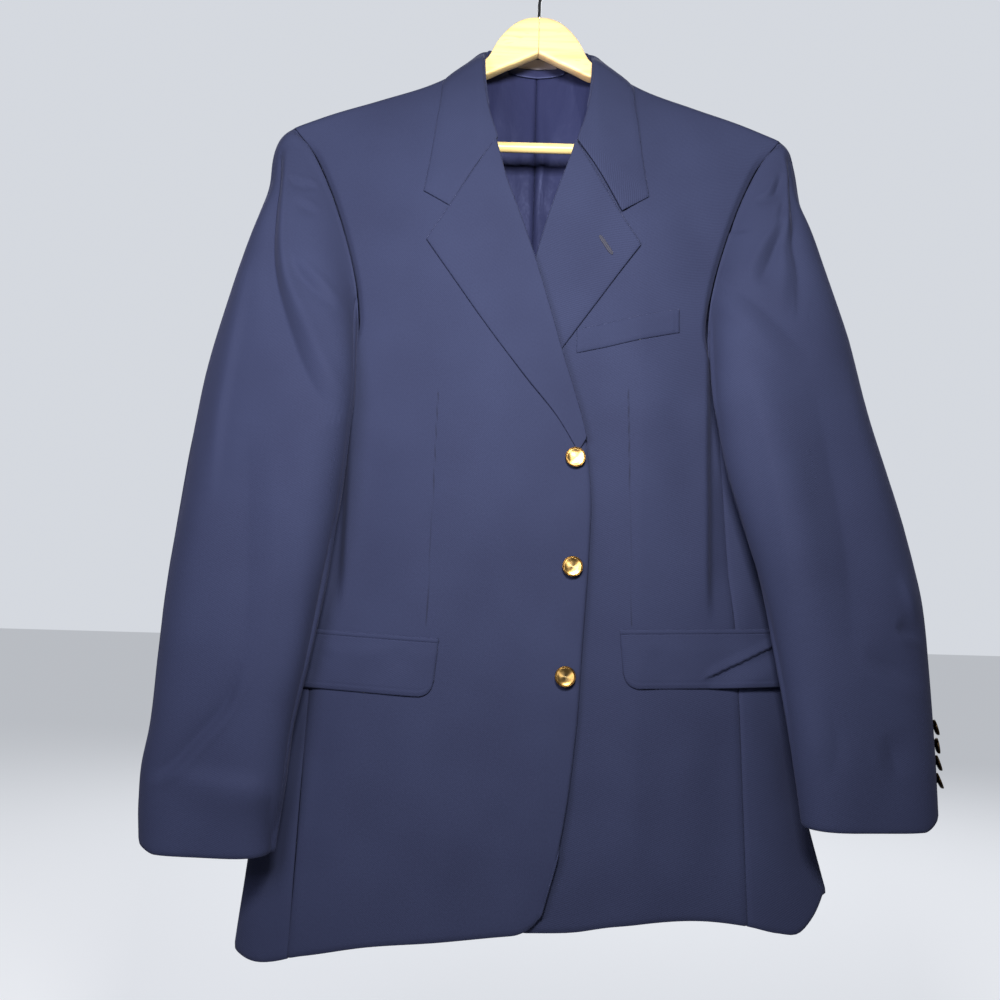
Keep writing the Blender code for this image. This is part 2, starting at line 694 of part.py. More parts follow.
def back_lining(side):
    """Satin lining of one back: it hangs from the neck seam inside the back."""
    across, down = grid(7, 11, 1.2)
    reach = 205.0

    def top_z(share):
        shoulder = ease((reach * share - 50) / 30)
        return smooth(BACK_TOP_ROWS, reach * share)[..., 0] - 3.0 - LINING_DROP * shoulder

    def bottom_z(share):
        return hem_height(side * reach * share) + 24.0

    x, z = ruled_panel(lambda h: side * GAP + 0 * h, lambda h: side * (reach - 6) + 0 * h,
                       top_z, bottom_z, across, down)
    skin = np.stack([x, panel_depth(x, z, 1), z], axis=-1)
    if side == LEFT:
        points = moved_out(skin[:, ::-1], -LINING_IN + 0 * x)[:, ::-1]
    else:
        points = moved_out(skin, -LINING_IN + 0 * x)
    points[:, 0, 0] = side * GAP
    word = "right" if side == RIGHT else "left"
    return sheet("back_lining_" + word, points, SATIN, LINING, flip=side == LEFT)


def turned(name, profile, place, axis, finish, segments=16):
    """A turned solid: a profile of (radius, height) down its outer side, as a Screw, set on axis."""
    mesh = bpy.data.meshes.new(name)
    points = [(radius * MM, 0.0, height * MM) for radius, height in profile]
    mesh.from_pydata(points, [(i, i + 1) for i in range(len(points) - 1)], [])
    made = bpy.data.objects.new(name, mesh)
    made.data.materials.append(finish)
    screw = made.modifiers.new("turn", "SCREW")
    screw.steps = segments
    screw.render_steps = segments
    screw.use_merge_vertices = True
    screw.merge_threshold = 0.00001
    direction = np.array(axis, float) / np.linalg.norm(axis)
    made.rotation_mode = "QUATERNION"
    made.rotation_quaternion = quaternion_to(direction)
    made.location = [value * MM for value in place]
    BLAZER.objects.link(made)
    return made


def quaternion_to(direction):
    """The turn that takes +Z to a direction."""
    cross = np.cross((0, 0, 1), direction)
    w = 1 + direction[2]
    whole = np.array([w, *cross])
    return whole / np.linalg.norm(whole)


def button_profile(diameter, height):
    """A blazer button: a low dome with a rounded rim, on a shank."""
    r = diameter / 2
    return [(0, height), (0.55 * r, height - 0.3), (0.94 * r, height - 1.0), (r, height - 1.7),
            (0.94 * r, height - 2.4), (0.18 * r, 0.8), (0.18 * r, 0), (0, 0)]


def front_buttons():
    """Three buttons up the right front's edge, standing on it by their shanks."""
    for number, (x, z) in enumerate(FRONT_BUTTONS, 1):
        y = float(panel_depth(np.array(x), np.array(z), -1)) - CLOTH - 2 * GAP
        turned("button_%d" % number, button_profile(FRONT_BUTTON_DIAMETER, 5.2), (x, y, z),
               (0, -1, 0.001), BRASS)


def cuff_buttons(side):
    """Four touching buttons on the outer edge of a cuff, in front of the back seam."""
    rows = SLEEVE_RIGHT_ROWS if side == RIGHT else SLEEVE_LEFT_ROWS
    word = "right" if side == RIGHT else "left"
    for number in range(4):
        z = rows[-1][0] + CUFF_BUTTON_RISE + CUFF_BUTTON_PITCH * number
        low = (z - rows[0][0]) / (rows[-1][0] - rows[0][0]) + 1
        angle = np.array([np.array([-4.0, 0.0, 4.0]) + CUFF_BUTTON_ANGLE[side]] * 3)
        down = np.array([[low - 0.02] * 3, [low] * 3, [low + 0.02] * 3])
        patch = sleeve_points(angle, down, side)
        outward = moved_out(patch, np.ones((3, 3))) - patch
        direction = outward[1, 1] * (1 if side == RIGHT else -1)
        seat = patch[1, 1] + direction * (CLOTH * 0.9 + GAP / 3)
        turned("cuff_button_%s_%d" % (word, number + 1),
               button_profile(CUFF_BUTTON_DIAMETER, 4.6), seat, direction, BRASS, 10)


def locker_loop():
    """The satin loop across the back neck, and the bare label above it."""
    across, down = np.meshgrid(np.linspace(0, 1, 9), [0.0, 0.5, 1.0])
    x = -31 + 62 * across
    z = -116 - 9 * down - 3 * np.sin(math.pi * across)
    y = panel_depth(x, z, 1) - LINING_IN - 8 * GAP
    sheet("locker_loop", np.stack([x, y, z], -1), SATIN, LINING)
    across, down = np.meshgrid(np.linspace(0, 1, 5), [0.0, 1.0])
    x = -22 + 44 * across
    z = -103 - 12 * down
    y = smooth(BACK_TOP_ROWS, np.abs(x))[..., 1] - 2.1
    sheet("neck_label", np.stack([x, y, z], -1), SATIN * 0.8, LABEL)


def hanger_arm(side):
    """Half the hanger: a loft of upright oblongs, tallest at the mitre, curving to the front."""
    stations = np.array([0.15, 8, 14, 19, 24, 33, 45, 55, 62, 70, 80, 106, 138, 169, 185, 192, 202,
                         212, 219, 224])
    top, bottom, thick = np.moveaxis(smooth(HANGER_ROWS, stations), -1, 0)
    mid = -HANGER_FORWARD * (stations / HANGER_REACH) ** 2
    mesh = bmesh.new()
    loops = []
    for x, high, low, middle, width in zip(stations, top, bottom, mid, thick):
        half, soft = width / 2, 2.5
        section = [(-half, low + soft), (-half, high - soft), (-half + soft, high),
                   (half - soft, high), (half, high - soft), (half, low + soft),
                   (half - soft, low), (-half + soft, low)]
        loops.append([mesh.verts.new((side * x * MM, (middle + y) * MM, z * MM))
                      for y, z in section])
    for one, two in zip(loops, loops[1:]):
        for i in range(len(one)):
            j = (i + 1) % len(one)
            mesh.faces.new((one[i], one[j], two[j], two[i]))
    mesh.faces.new(loops[0])
    mesh.faces.new(list(reversed(loops[-1])))
    bmesh.ops.recalc_face_normals(mesh, faces=mesh.faces)
    name = "hanger_arm_right" if side == RIGHT else "hanger_arm_left"
    data = bpy.data.meshes.new(name)
    mesh.to_mesh(data)
    mesh.free()
    data.materials.append(WOOD)
    BLAZER.objects.link(bpy.data.objects.new(name, data))


def tube(name, points, diameter, finish):
    """A round bar or wire along points."""
    curve = bpy.data.curves.new(name, "CURVE")
    curve.dimensions = "3D"
    curve.bevel_depth = diameter / 2 * MM
    curve.bevel_resolution = 3
    curve.use_fill_caps = True
    line = curve.splines.new("POLY")
    line.points.add(len(points) - 1)
    for spot, place in zip(line.points, points):
        spot.co = (*[value * MM for value in place], 1.0)
    curve.materials.append(finish)
    BLAZER.objects.link(bpy.data.objects.new(name, curve))


def trouser_bar():
    """The dowel between the arms' ends."""
    y = -HANGER_FORWARD * (BAR_HALF / HANGER_REACH) ** 2
    tube("trouser_bar", [(-BAR_HALF, y, BAR_Z), (0, y, BAR_Z), (BAR_HALF, y, BAR_Z)],
         BAR_DIAMETER, WOOD)


def hook():
    """The wire hook: a stem from the wood, a bend to one side and a round hook over the top."""
    radius = HOOK_INNER_RADIUS + HOOK_WIRE / 2
    centre = -HOOK_INNER_RADIUS
    leave = math.radians(HOOK_LEAVE_ANGLE)
    join = (radius * math.cos(leave), centre + radius * math.sin(leave))
    points = [(0, 0, HANGER_ROWS[0][1] + GAP), (0, 0, -60)]
    for step in range(1, 7):
        t = step / 7
        along, start, end = t * t * (3 - 2 * t), t * (1 - t) ** 2, t * t * (1 - t)
        points.append((join[0] * along + HOOK_PULL * math.sin(leave) * end, 0,
                       -60 + (join[1] + 60) * along
                       + HOOK_PULL * (start - math.cos(leave) * end)))
    for step in range(17):
        turn = leave + (math.radians(HOOK_TIP_ANGLE) - leave) * step / 16
        points.append((radius * math.cos(turn), 0, centre + radius * math.sin(turn)))
    tube("hook", points, HOOK_WIRE, CHROME)


clear_scene()
BLAZER = bpy.data.collections.new("blazer_on_hanger")
bpy.context.scene.collection.children.link(BLAZER)
WOOL = material("navy_wool", WOOL_BLUE, 0.85)
LINING = material("navy_satin", SATIN_BLUE, 0.45)
BRASS = material("spun_brass", BRASS_GOLD, 0.35, 1.0)
WOOD = material("pale_wood", PALE_WOOD, 0.5)
CHROME = material("chrome_wire", CHROME_GREY, 0.15, 1.0)
LABEL = material("woven_label", LABEL_GREY, 0.7)

for side in (RIGHT, LEFT):
    front(side)
    side_panel(side)
    back(side)
    lapel(side)
    sleeves(side)
    pocket(side)
    back_lining(side)
    cuff_buttons(side)
    hanger_arm(side)
collar_fall()
collar_stand()
chest_welt()
front_buttons()
locker_loop()
trouser_bar()
hook()
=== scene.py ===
"""A navy single breasted blazer that hangs unbuttoned on a pale wooden hanger.

Lengths are in millimetres until a mesh is made. +Z is up, the jacket faces -Y, and the origin is
the inside of the hook's top bend. "right" and "left" are the wearer's: right is at -X.
"""

import bpy
import numpy as np
from mathutils import Matrix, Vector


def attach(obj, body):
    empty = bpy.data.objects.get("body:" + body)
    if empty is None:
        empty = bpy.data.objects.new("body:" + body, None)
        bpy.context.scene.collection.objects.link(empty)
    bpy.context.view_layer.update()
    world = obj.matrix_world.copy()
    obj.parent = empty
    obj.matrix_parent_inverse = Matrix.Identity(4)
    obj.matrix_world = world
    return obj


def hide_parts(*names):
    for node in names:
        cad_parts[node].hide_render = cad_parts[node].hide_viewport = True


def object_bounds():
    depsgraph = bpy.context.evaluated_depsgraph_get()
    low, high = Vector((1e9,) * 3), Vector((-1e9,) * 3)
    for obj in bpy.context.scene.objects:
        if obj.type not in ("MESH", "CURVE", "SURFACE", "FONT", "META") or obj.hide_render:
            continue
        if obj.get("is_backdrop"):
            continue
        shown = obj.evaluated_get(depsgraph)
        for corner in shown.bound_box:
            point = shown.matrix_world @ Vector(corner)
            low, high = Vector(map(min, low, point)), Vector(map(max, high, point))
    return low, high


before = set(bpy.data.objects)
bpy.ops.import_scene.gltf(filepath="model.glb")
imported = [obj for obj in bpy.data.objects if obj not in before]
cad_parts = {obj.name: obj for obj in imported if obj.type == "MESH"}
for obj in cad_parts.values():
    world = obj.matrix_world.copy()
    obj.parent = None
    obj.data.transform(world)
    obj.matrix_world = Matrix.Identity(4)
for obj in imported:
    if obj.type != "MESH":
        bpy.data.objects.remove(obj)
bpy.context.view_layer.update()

# The fronts: two panels of navy worsted wool over canvas, from the shoulder seam to the hem. Each
# is shaped by one dart and pressed flat; the right one laps over the left one. The rolled-back
# upper edge is the roll line of its lapel, and the lower corner is cut away in a curve.
MM = 0.001
RIGHT, LEFT = -1, 1
CLOTH = 1.8              # wool with its canvas
WALL = 1.3               # what shows of that thickness at an edge
BODY_ROWS = [
    # z, right side x, left side x, front y, back y, side y
    (-100, 288, 288, -52, 40, -16),
    (-218, 284, 284, -54, 40, -16),
    (-300, 276, 276, -57, 42, -12),
    (-450, 266, 266, -61, 42, -6),
    (-520, 263, 263, -62, 42, -5),
    (-680, 254, 257, -63, 40, -4),
    (-780, 262, 270, -63, 40, -4),
    (-900, 262, 278, -61, 40, -5),
    (-980, 267, 297, -60, 40, -5),
    (-1080, 276, 326, -58, 40, -6),
]
SHOULDER_ROWS = [
    # distance from the centre, z, y of the seam between front and back
    (0, -126, 0),
    (62, -130, -1.2),
    (80, -143, -2),
    (106, -159, -3.6),
    (169, -186, -9.1),
    (218, -206, -15.2),
    (259, -226, -21.4),
]
NECK_ROWS = [
    # distance from the centre, z, y of the back's top edge
    (0, -119, 38),
    (30, -120, 33),
    (50, -124, 20),
    (62, -130, -1.2),
] + SHOULDER_ROWS[2:]
ARMHOLE_FRONT_ROWS = [
    # z, x, degrees round the sleeve
    (-226, 259, 0),
    (-236, 251, 50),
    (-253, 238, 84),
    (-290, 219, 110),
    (-320, 207, 127),
    (-352, 196, 142),
    (-387, 186, 158),
    (-423, 179, 174),
    (-457, 177, 190),
    (-482, 186, 212),
]
ARMHOLE_BACK_ROWS = [
    # z, x, degrees round the sleeve
    (-226, 259, 360),
    (-243, 246, 342),
    (-290, 228, 328),
    (-350, 216, 318),
    (-420, 213, 308),
    (-476, 226, 297),
]
SIDE_SEAM_ROWS = [
    # z, front seam x, back seam x
    (-476, 186, 226),
    (-560, 194, 224),
    (-680, 202, 218),
    (-800, 209, 224),
    (-980, 215, 232),
    (-1080, 218, 240),
]
EDGE_ROWS = [
    # z, how far past the centre line: right front, left front
    (-130, -61, -60),
    (-170, -59, -57),
    (-213, -53, -51),
    (-246, -45, -41),
    (-268, -39, -35),
    (-294, -32, -26),
    (-328, -19, -15),
    (-379, -1, -1),
    (-471, 27, 27),
    (-564, 54, 54),
    (-620, 60, 58),
    (-672, 59, 58),
    (-763, 54, 54),
    (-852, 49, 49),
    (-963, 33, 33),
    (-1040, 10, 10),
]
HEM_ROWS = [
    # x, z
    (-280, -1062),
    (-256, -1069),
    (-200, -1059),
    (-147, -1048),
    (-80, -1040),
    (0, -1031),
    (60, -1028),
    (93, -1022),
    (177, -1016),
    (222, -1022),
    (250, -1028),
    (274, -1029),
    (290, -1019),
    (314, -998),
]
SIDE_ROUNDING, DRAPE_DROP, DRAPE_POWER, SHOULDER_ROLL = 2.4, 200.0, 0.8, 8.7
HEM_CORNER = 30.0
SEAM_GAP = 0.2           # how far a panel's edge stays from its seam
UNDER_SINK = 6.4         # the left front lies this far behind the right one where they overlap
FRONT_FOLDS = {
    RIGHT: [
        # x0, z0, x1, z1, width, depth, bow, ridge beside it
        (-205, -470, -196, -640, 16, 3.0, 6, 1.6),
        (-150, -560, -178, -790, 26, 2.2, -8, 1.2),
        (-120, -830, -150, -1030, 34, 2.6, 6, 1.4),
        (-60, -640, -40, -960, 30, 1.6, -6, 0.8),
        (-190, -815, -206, -1040, 20, 2.6, 4, 1.4),
        (-20, -900, -6, -1025, 22, 1.8, 4, 0.9),
        (-150, -300, -176, -450, 22, 1.6, 8, 1.0),
        (-118, -190, -150, -330, 26, 1.2, 6, 0.8),
    ],
    LEFT: [
        (196, -560, 214, -742, 18, 3.6, -6, 2.2),
        (150, -480, 186, -640, 24, 2.4, 8, 1.4),
        (120, -830, 138, -1010, 32, 2.4, -6, 1.3),
        (70, -640, 84, -900, 30, 1.4, 6, 0.8),
        (180, -830, 196, -1010, 22, 2.4, -4, 1.3),
        (46, -880, 36, -1010, 22, 1.8, -4, 0.9),
        (150, -300, 178, -430, 22, 1.6, -8, 1.0),
        (118, -190, 152, -320, 26, 1.2, -6, 0.8),
    ],
}
TUCKS = {
    # from x, from z, to z, depth of the step inwards beside the sleeve
    RIGHT: (178.0, -440.0, -745.0, 9.0),
    LEFT: (175.0, -400.0, -745.0, 9.0),
}
TUCK_WIDTH = 9.0
DARTS = {RIGHT: (-93, -520, -96, -748), LEFT: (96, -512, 102, -742)}     # x0, z0, x1, z1


def cubic(t, start, leaving, end, arriving):
    """(2 t^3 - 3 t^2 + 1) start + (t^3 - 2 t^2 + t) leaving + (3 t^2 - 2 t^3) end
    + (t^3 - t^2) arriving: from start to end with these slopes."""
    return ((2 * t**3 - 3 * t**2 + 1) * start + (t**3 - 2 * t**2 + t) * leaving
            + (3 * t**2 - 2 * t**3) * end + (t**3 - t**2) * arriving)


def smooth(rows, at):
    """Reads a table at the given keys: cubics between rows, each slope the mean of its neighbours."""
    table = np.array(rows, float)
    table = table[np.argsort(table[:, 0])]
    key, values = table[:, 0], table[:, 1:]
    slope = np.gradient(values, key, axis=0)
    at = np.clip(np.asarray(at, float), key[0], key[-1])
    i = np.clip(np.searchsorted(key, at, side="right") - 1, 0, len(key) - 2)
    span = key[i + 1] - key[i]
    t = ((at - key[i]) / span)[..., None]
    span = span[..., None]
    return cubic(t, values[i], span * slope[i], values[i + 1], span * slope[i + 1])


def bounded(t):
    """t, but not under 0 or over 1."""
    return np.clip(t, 0, 1)


def ease(t):
    """0 to 1 as 3 t^2 - 2 t^3, flat at both ends."""
    t = bounded(t)
    return t * t * (3 - 2 * t)


def bell(t):
    """exp(-t^2): 1 at t = 0, and almost 0 past 2."""
    return np.exp(-t**2)


def unit(vectors):
    """The vectors along the last axis, each divided by its length."""
    return vectors / np.maximum(np.linalg.norm(vectors, axis=-1, keepdims=True), 1e-9)


def ring(z):
    """Right side, left side, front, back and side depth of the body at a height."""
    return np.moveaxis(smooth(BODY_ROWS, z), -1, 0)


def skin_depth(x, z, face):
    """Y of the jacket's inner face in front (-1) or behind (1).

    A ring, side + (centre - side) * root(1 - (x / half) ^ 2.4), that eases over 200 mm below the
    shoulder seam out of a quarter circle of 8.7 mm round the hanger's arm."""
    right, left, front, back, side = ring(z)
    half = np.where(x < 0, right, left)
    bulge = np.sqrt(bounded(1 - bounded(np.abs(x) / half) ** SIDE_ROUNDING))
    deep = side + ((front if face < 0 else back) - side) * bulge
    top = smooth(SHOULDER_ROWS if face < 0 else NECK_ROWS, np.abs(x))
    drop = bounded((top[..., 0] - z) / DRAPE_DROP)
    share = (1 - (1 - drop) ** 2) ** DRAPE_POWER
    over = bounded(1 - (top[..., 0] - z) / SHOULDER_ROLL)
    roll = face * SHOULDER_ROLL * np.sqrt(1 - over**2) * bounded((np.abs(x) - 50) / 12)
    edge = top[..., 1] + roll
    return edge + (deep - edge) * share


def grid(columns, rows, crowd=1.0):
    """Two parameters from 0 to 1, across and down; crowd over 1 packs rows towards the top."""
    return np.meshgrid(np.linspace(0, 1, columns), np.linspace(0, 1, rows) ** crowd)


def normals(points, flip=False):
    """Unit normals of a grid whose rows run down and columns across: down x across, or the other
    way for a grid whose columns run from the outside in."""
    normal = unit(np.cross(np.gradient(points, axis=0), np.gradient(points, axis=1)))
    return -normal if flip else normal


def pushed(points, amount, flip=False):
    """The grid moved along its own normals by an amount for each point."""
    return points + normals(points, flip) * np.asarray(amount)[..., None]


def folds(rows, a, b):
    """Height of listed soft folds over coordinates a and b.

    Across each line: -depth * exp(-(s / w)^2) + ridge * exp(-((s - 1.7 w) / w)^2), with s the
    distance from the bowed line. Along it the fold widens a little and dies out at both ends."""
    height = np.zeros(np.shape(a))
    for a0, b0, a1, b1, width, depth, bow, ridge in rows:
        length = np.hypot(a1 - a0, b1 - b0)
        ua, ub = (a1 - a0) / length, (b1 - b0) / length
        t = ((a - a0) * ua + (b - b0) * ub) / length
        inside = bounded(t)
        s = (a - a0) * ub - (b - b0) * ua - bow * 4 * inside * (1 - inside)
        wide = width * (0.8 + 0.4 * inside)
        along = ease(inside * 3.2) * ease((1 - inside) * 2.6)
        height += along * (-depth * bell(s / wide)
                           + ridge * bell((s - 1.7 * wide) / wide))
    return height


def crease(rows, a, b):
    """Height of one crease along a path of rows (a, b, width, depth).

    With s the signed distance from the nearest of 60 points of the smoothed path, a trough is
    -0.8 depth * exp(0.25 - root((s / w)^2 + 0.06)) + 0.3 depth * exp(-((s - 2.2 w) / w)^2), with w
    twice as wide on the far side; a negative depth raises a round ridge. The steep wall and the
    ridge beside a crease that runs down lie on the side where a is smaller."""
    path = smooth([(i, *row) for i, row in enumerate(rows)], np.linspace(0, len(rows) - 1, 60))
    along = unit(np.gradient(path[:, :2], axis=0))
    spot = np.stack([np.asarray(a, float).ravel(), np.asarray(b, float).ravel()], 1)
    near = np.argmin(((spot[:, None] - path[None, :, :2]) ** 2).sum(-1), axis=1)
    off = spot - path[near, :2]
    s = off[:, 0] * along[near, 1] - off[:, 1] * along[near, 0]
    past = np.abs((off * along[near]).sum(1))
    width, depth = path[near, 2], path[near, 3] * bell(past / (3 * path[near, 2]))
    beside = np.clip(depth, 0, None) * 0.3 * bell((s - 2.2 * width) / width)
    share = s / (np.where(s < 0, 2.0, 1.0) * width)
    line = np.where(depth > 0, 0.8 * np.exp(0.25 - np.sqrt(share**2 + 0.06)), bell(share))
    return (beside - depth * line).reshape(np.shape(a))


def unevenness(a, b, phase):
    """Slow waves of hanging cloth: five sines of 70 to 240 mm in slanting directions."""
    waves = [(0.026, 0.006, 0.9), (0.041, -0.013, 0.5), (0.015, 0.021, 0.7), (0.060, 0.018, 0.28),
             (-0.033, 0.034, 0.3)]
    return sum(tall * np.sin(ka * a + kb * b + phase * (i + 1.7))
               for i, (ka, kb, tall) in enumerate(waves))


def pressed_edge(distance, depth, reach):
    """A seam or turned edge: the cloth dips by depth at distance 0 and is level past reach."""
    return -depth * (1 - ease(distance / reach)) ** 1.5


def spacing(points, axis):
    """Running length along a grid axis, from zero at its middle."""
    step = np.linalg.norm(np.diff(points, axis=axis), axis=-1)
    run = np.insert(np.cumsum(step, axis=axis), 0, 0, axis=axis)
    return run - np.take(run, [run.shape[axis] // 2], axis=axis)


def new_piece(name, points, faces, uv, finish, marks):
    """Puts arrays into a smooth mesh object at the origin, with UVs in metres and its marks."""
    mesh = bpy.data.meshes.new(name)
    mesh.from_pydata((points * MM).tolist(), [], list(faces))
    mesh.polygons.foreach_set("use_smooth", np.ones(len(faces), bool))
    corner = np.empty(len(mesh.loops), np.int32)
    mesh.loops.foreach_get("vertex_index", corner)
    layer = mesh.uv_layers.new(name="cloth")
    uv = uv[corner] if len(uv) == len(points) else uv
    layer.data.foreach_set("uv", (uv * MM).ravel())
    for mark, values in marks.items():
        mesh.attributes.new(mark, "FLOAT", "POINT").data.foreach_set("value", values.ravel())
    mesh.materials.append(finish)
    mesh.update()
    piece = bpy.data.objects.new(name, mesh)
    bpy.context.scene.collection.objects.link(piece)
    return piece


def shell(name, points, wall, finish, flip=False, marks=None):
    """A closed cloth wall: the outer grid, the same grid moved in by the wall's thickness, and a
    rim whose middle line bulges out by half that thickness. Rows run down, columns across."""
    marks = marks or {}
    if flip:
        points = points[:, ::-1]
        marks = {mark: values[:, ::-1] for mark, values in marks.items()}
    rows, columns = points.shape[:2]
    inner = points - wall * normals(points)
    index = np.arange(rows * columns).reshape(rows, columns)
    rim = np.concatenate([index[:-1, 0], index[-1, :-1], index[:0:-1, -1], index[0, :0:-1]])
    outer_rim, inner_rim = points.reshape(-1, 3)[rim], inner.reshape(-1, 3)[rim]
    run = np.roll(outer_rim, -1, 0) - np.roll(outer_rim, 1, 0)
    away = unit(np.cross(run, outer_rim - inner_rim))
    middle = (outer_rim + inner_rim) / 2 + away * wall / 2
    quads = np.stack([index[:-1, :-1], index[1:, :-1], index[1:, 1:], index[:-1, 1:]], -1)
    quads = quads.reshape(-1, 4)
    size = index.size
    mid = 2 * size + np.arange(len(rim))
    after, mid_after = np.roll(rim, -1), np.roll(mid, -1)
    faces = np.concatenate([
        quads, quads[:, ::-1] + size,
        np.stack([rim, mid, mid_after, after], -1),
        np.stack([mid, rim + size, after + size, mid_after], -1)])
    uv = np.stack([spacing(points, 1), -spacing(points, 0)], -1).reshape(-1, 2)
    uv = np.concatenate([uv, uv, uv[rim]])
    spread = {mark: np.concatenate([values.ravel(), values.ravel(), values.ravel()[rim]])
              for mark, values in marks.items()}
    return new_piece(name, np.concatenate([points.reshape(-1, 3), inner.reshape(-1, 3), middle]),
                     faces, uv, finish, spread)


def linear(code):
    """The linear colour of an sRGB hex code."""
    value = np.array([int(code[i:i + 2], 16) / 255 for i in (0, 2, 4)])
    value = np.where(value <= 0.04045, value / 12.92, ((value + 0.055) / 1.055) ** 2.4)
    return (*value.tolist(), 1.0)


def node(tree, kind, settings=None, links=None, **properties):
    """Adds a shader node with its properties, its input values and its links, and returns it."""
    made = tree.nodes.new("ShaderNode" + kind)
    for name, value in properties.items():
        setattr(made, name, value)
    for name, value in (settings or {}).items():
        made.inputs[name].default_value = value
    for name, source in (links or {}).items():
        tree.links.new(source, made.inputs[name])
    return made


def ramp(tree, source, stops):
    """A colour ramp over a source, from stops of (position, hex code); the first two are its ends."""
    made = node(tree, "ValToRGB", {}, {"Fac": source})
    for element, (at, code) in zip(made.color_ramp.elements, stops):
        element.position, element.color = at, linear(code)
    for at, code in stops[2:]:
        made.color_ramp.elements.new(at).color = linear(code)
    return made.outputs["Color"]


def bumped(tree, shader, height, strength, distance):
    """Roughens a shader's normal by a height."""
    dent = node(tree, "Bump", {"Strength": strength, "Distance": distance}, {"Height": height})
    tree.links.new(dent.outputs["Normal"], shader.inputs["Normal"])


def finish_named(name, **settings):
    """A new material with a Principled shader at these settings, its node tree and that shader."""
    made = bpy.data.materials.new(name)
    made.use_nodes = True
    shader = made.node_tree.nodes["Principled BSDF"]
    for key, value in settings.items():
        shader.inputs[key.replace("_", " ")].default_value = value
    return made, made.node_tree, shader


def worsted(name, base, shade, pitch=1.6, dart=False):
    """Worsted wool twill: fine diagonal ribs, a soft melange and a faint bloom at the edges.

    The real rib is 0.5 mm and is drawn at 1.6 mm, the finest that shows. A dart is a thin sunk line,
    darkened with painted shade, where the piece's dart mark, a distance in mm, is near zero."""
    made, tree, shader = finish_named(name, Roughness=0.86, Sheen_Weight=0.1,
                                      Sheen_Roughness=0.42, Sheen_Tint=linear("a8aede"),
                                      Specular_IOR_Level=0.22)
    place = node(tree, "TexCoord")
    turned = node(tree, "Mapping", {"Rotation": (0, 0, 1.06)},
                  {"Vector": place.outputs["UV"]})
    rib = node(tree, "TexWave",
               {"Scale": 314.16 / pitch, "Distortion": 0.5, "Detail": 1.0,
                "Detail Scale": 1.5},
               {"Vector": turned.outputs["Vector"]}, bands_direction="X")
    melange = node(tree, "TexNoise", {"Scale": 520.0, "Detail": 3.0},
                   {"Vector": place.outputs["UV"]})
    cloud = node(tree, "TexNoise", {"Scale": 14.0, "Detail": 2.0, "Roughness": 0.4},
                 {"Vector": place.outputs["Object"]})
    mixed = node(tree, "Mix", {"Factor": 0.5},
                 {"A": rib.outputs["Fac"], "B": melange.outputs["Fac"]})
    tone = node(tree, "Mix", {"Factor": 0.35},
                {"A": mixed.outputs["Result"], "B": cloud.outputs["Fac"]})
    painted = ramp(tree, tone.outputs["Result"], [(0.22, shade), (0.78, base)])
    height = tone.outputs["Result"]
    if dart:
        across = node(tree, "Attribute", attribute_name="dart")
        beside = node(tree, "Math", {}, {0: across.outputs["Fac"]}, operation="ABSOLUTE")
        open_line = node(tree, "MapRange", {"From Min": 0.2, "From Max": 1.5,
                                                      "To Min": 0.55, "To Max": 1.0},
                         {"Value": beside.outputs[0]}, interpolation_type="SMOOTHSTEP")
        # Painted shade: along the dart the colour is mixed towards 10111c, the shade in its fold.
        dart_painted_shade = node(tree, "Mix", {6: linear("10111c")},
                    {0: open_line.outputs["Result"], 7: painted}, data_type="RGBA")
        painted = dart_painted_shade.outputs[2]
        lower = node(tree, "Math", {1: 1.6}, {0: open_line.outputs["Result"]},
                     operation="MULTIPLY")
        height = node(tree, "Math", {}, {0: height, 1: lower.outputs[0]},
                      operation="ADD").outputs[0]
    tree.links.new(painted, shader.inputs["Base Color"])
    bumped(tree, shader, height, 0.35, 0.0004)
    return made


WOOL_LIGHT, WOOL_SHADE = "2f3654", "232843"
wool = worsted("navy worsted wool twill", WOOL_LIGHT, WOOL_SHADE)
wool_darted = worsted("navy worsted wool twill with a dart", WOOL_LIGHT, WOOL_SHADE, dart=True)


def edge_past_centre(z, side):
    """X of a front edge or roll line; the table gives how far it passes the centre line."""
    return -side * smooth(EDGE_ROWS, z)[..., 0 if side == RIGHT else 1]


def hem_height(x):
    """Height of the hem at x."""
    return smooth(HEM_ROWS, x)[..., 0]


def ruled(inner_x, outer_x, top_z, bottom_z, across, down):
    """X and z between two upright edges: z runs straight from top to bottom at each share across,
    and x straight from the inner to the outer edge."""
    z = top_z(across) * (1 - down) + bottom_z(across) * down
    z_inner = top_z(0 * across) * (1 - down) + bottom_z(0 * across) * down
    z_outer = top_z(0 * across + 1) * (1 - down) + bottom_z(0 * across + 1) * down
    return inner_x(z_inner) * (1 - across) + outer_x(z_outer) * across, z


def armhole_x(z, rows, seam_column):
    """The outer edge of a front or back: its armhole, then its seam to the side body."""
    arm = smooth([row[:2] for row in rows], z)[..., 0]
    return np.where(z > rows[-1][0], arm, smooth(SIDE_SEAM_ROWS, z)[..., seam_column])


def tuck(x, z, side):
    """How far the cloth falls back beside each sleeve: a soft step inwards, which starts where its
    row says, is deepest at the waist and loses six tenths again further out."""
    start, top, bottom, deep = TUCKS[side]
    past = np.abs(x) - start
    return (deep * ease(past / TUCK_WIDTH) * ease((top - z) / 90) * ease((z - bottom) / 60)
            * (1 - 0.6 * ease((past - 12) / 40)))


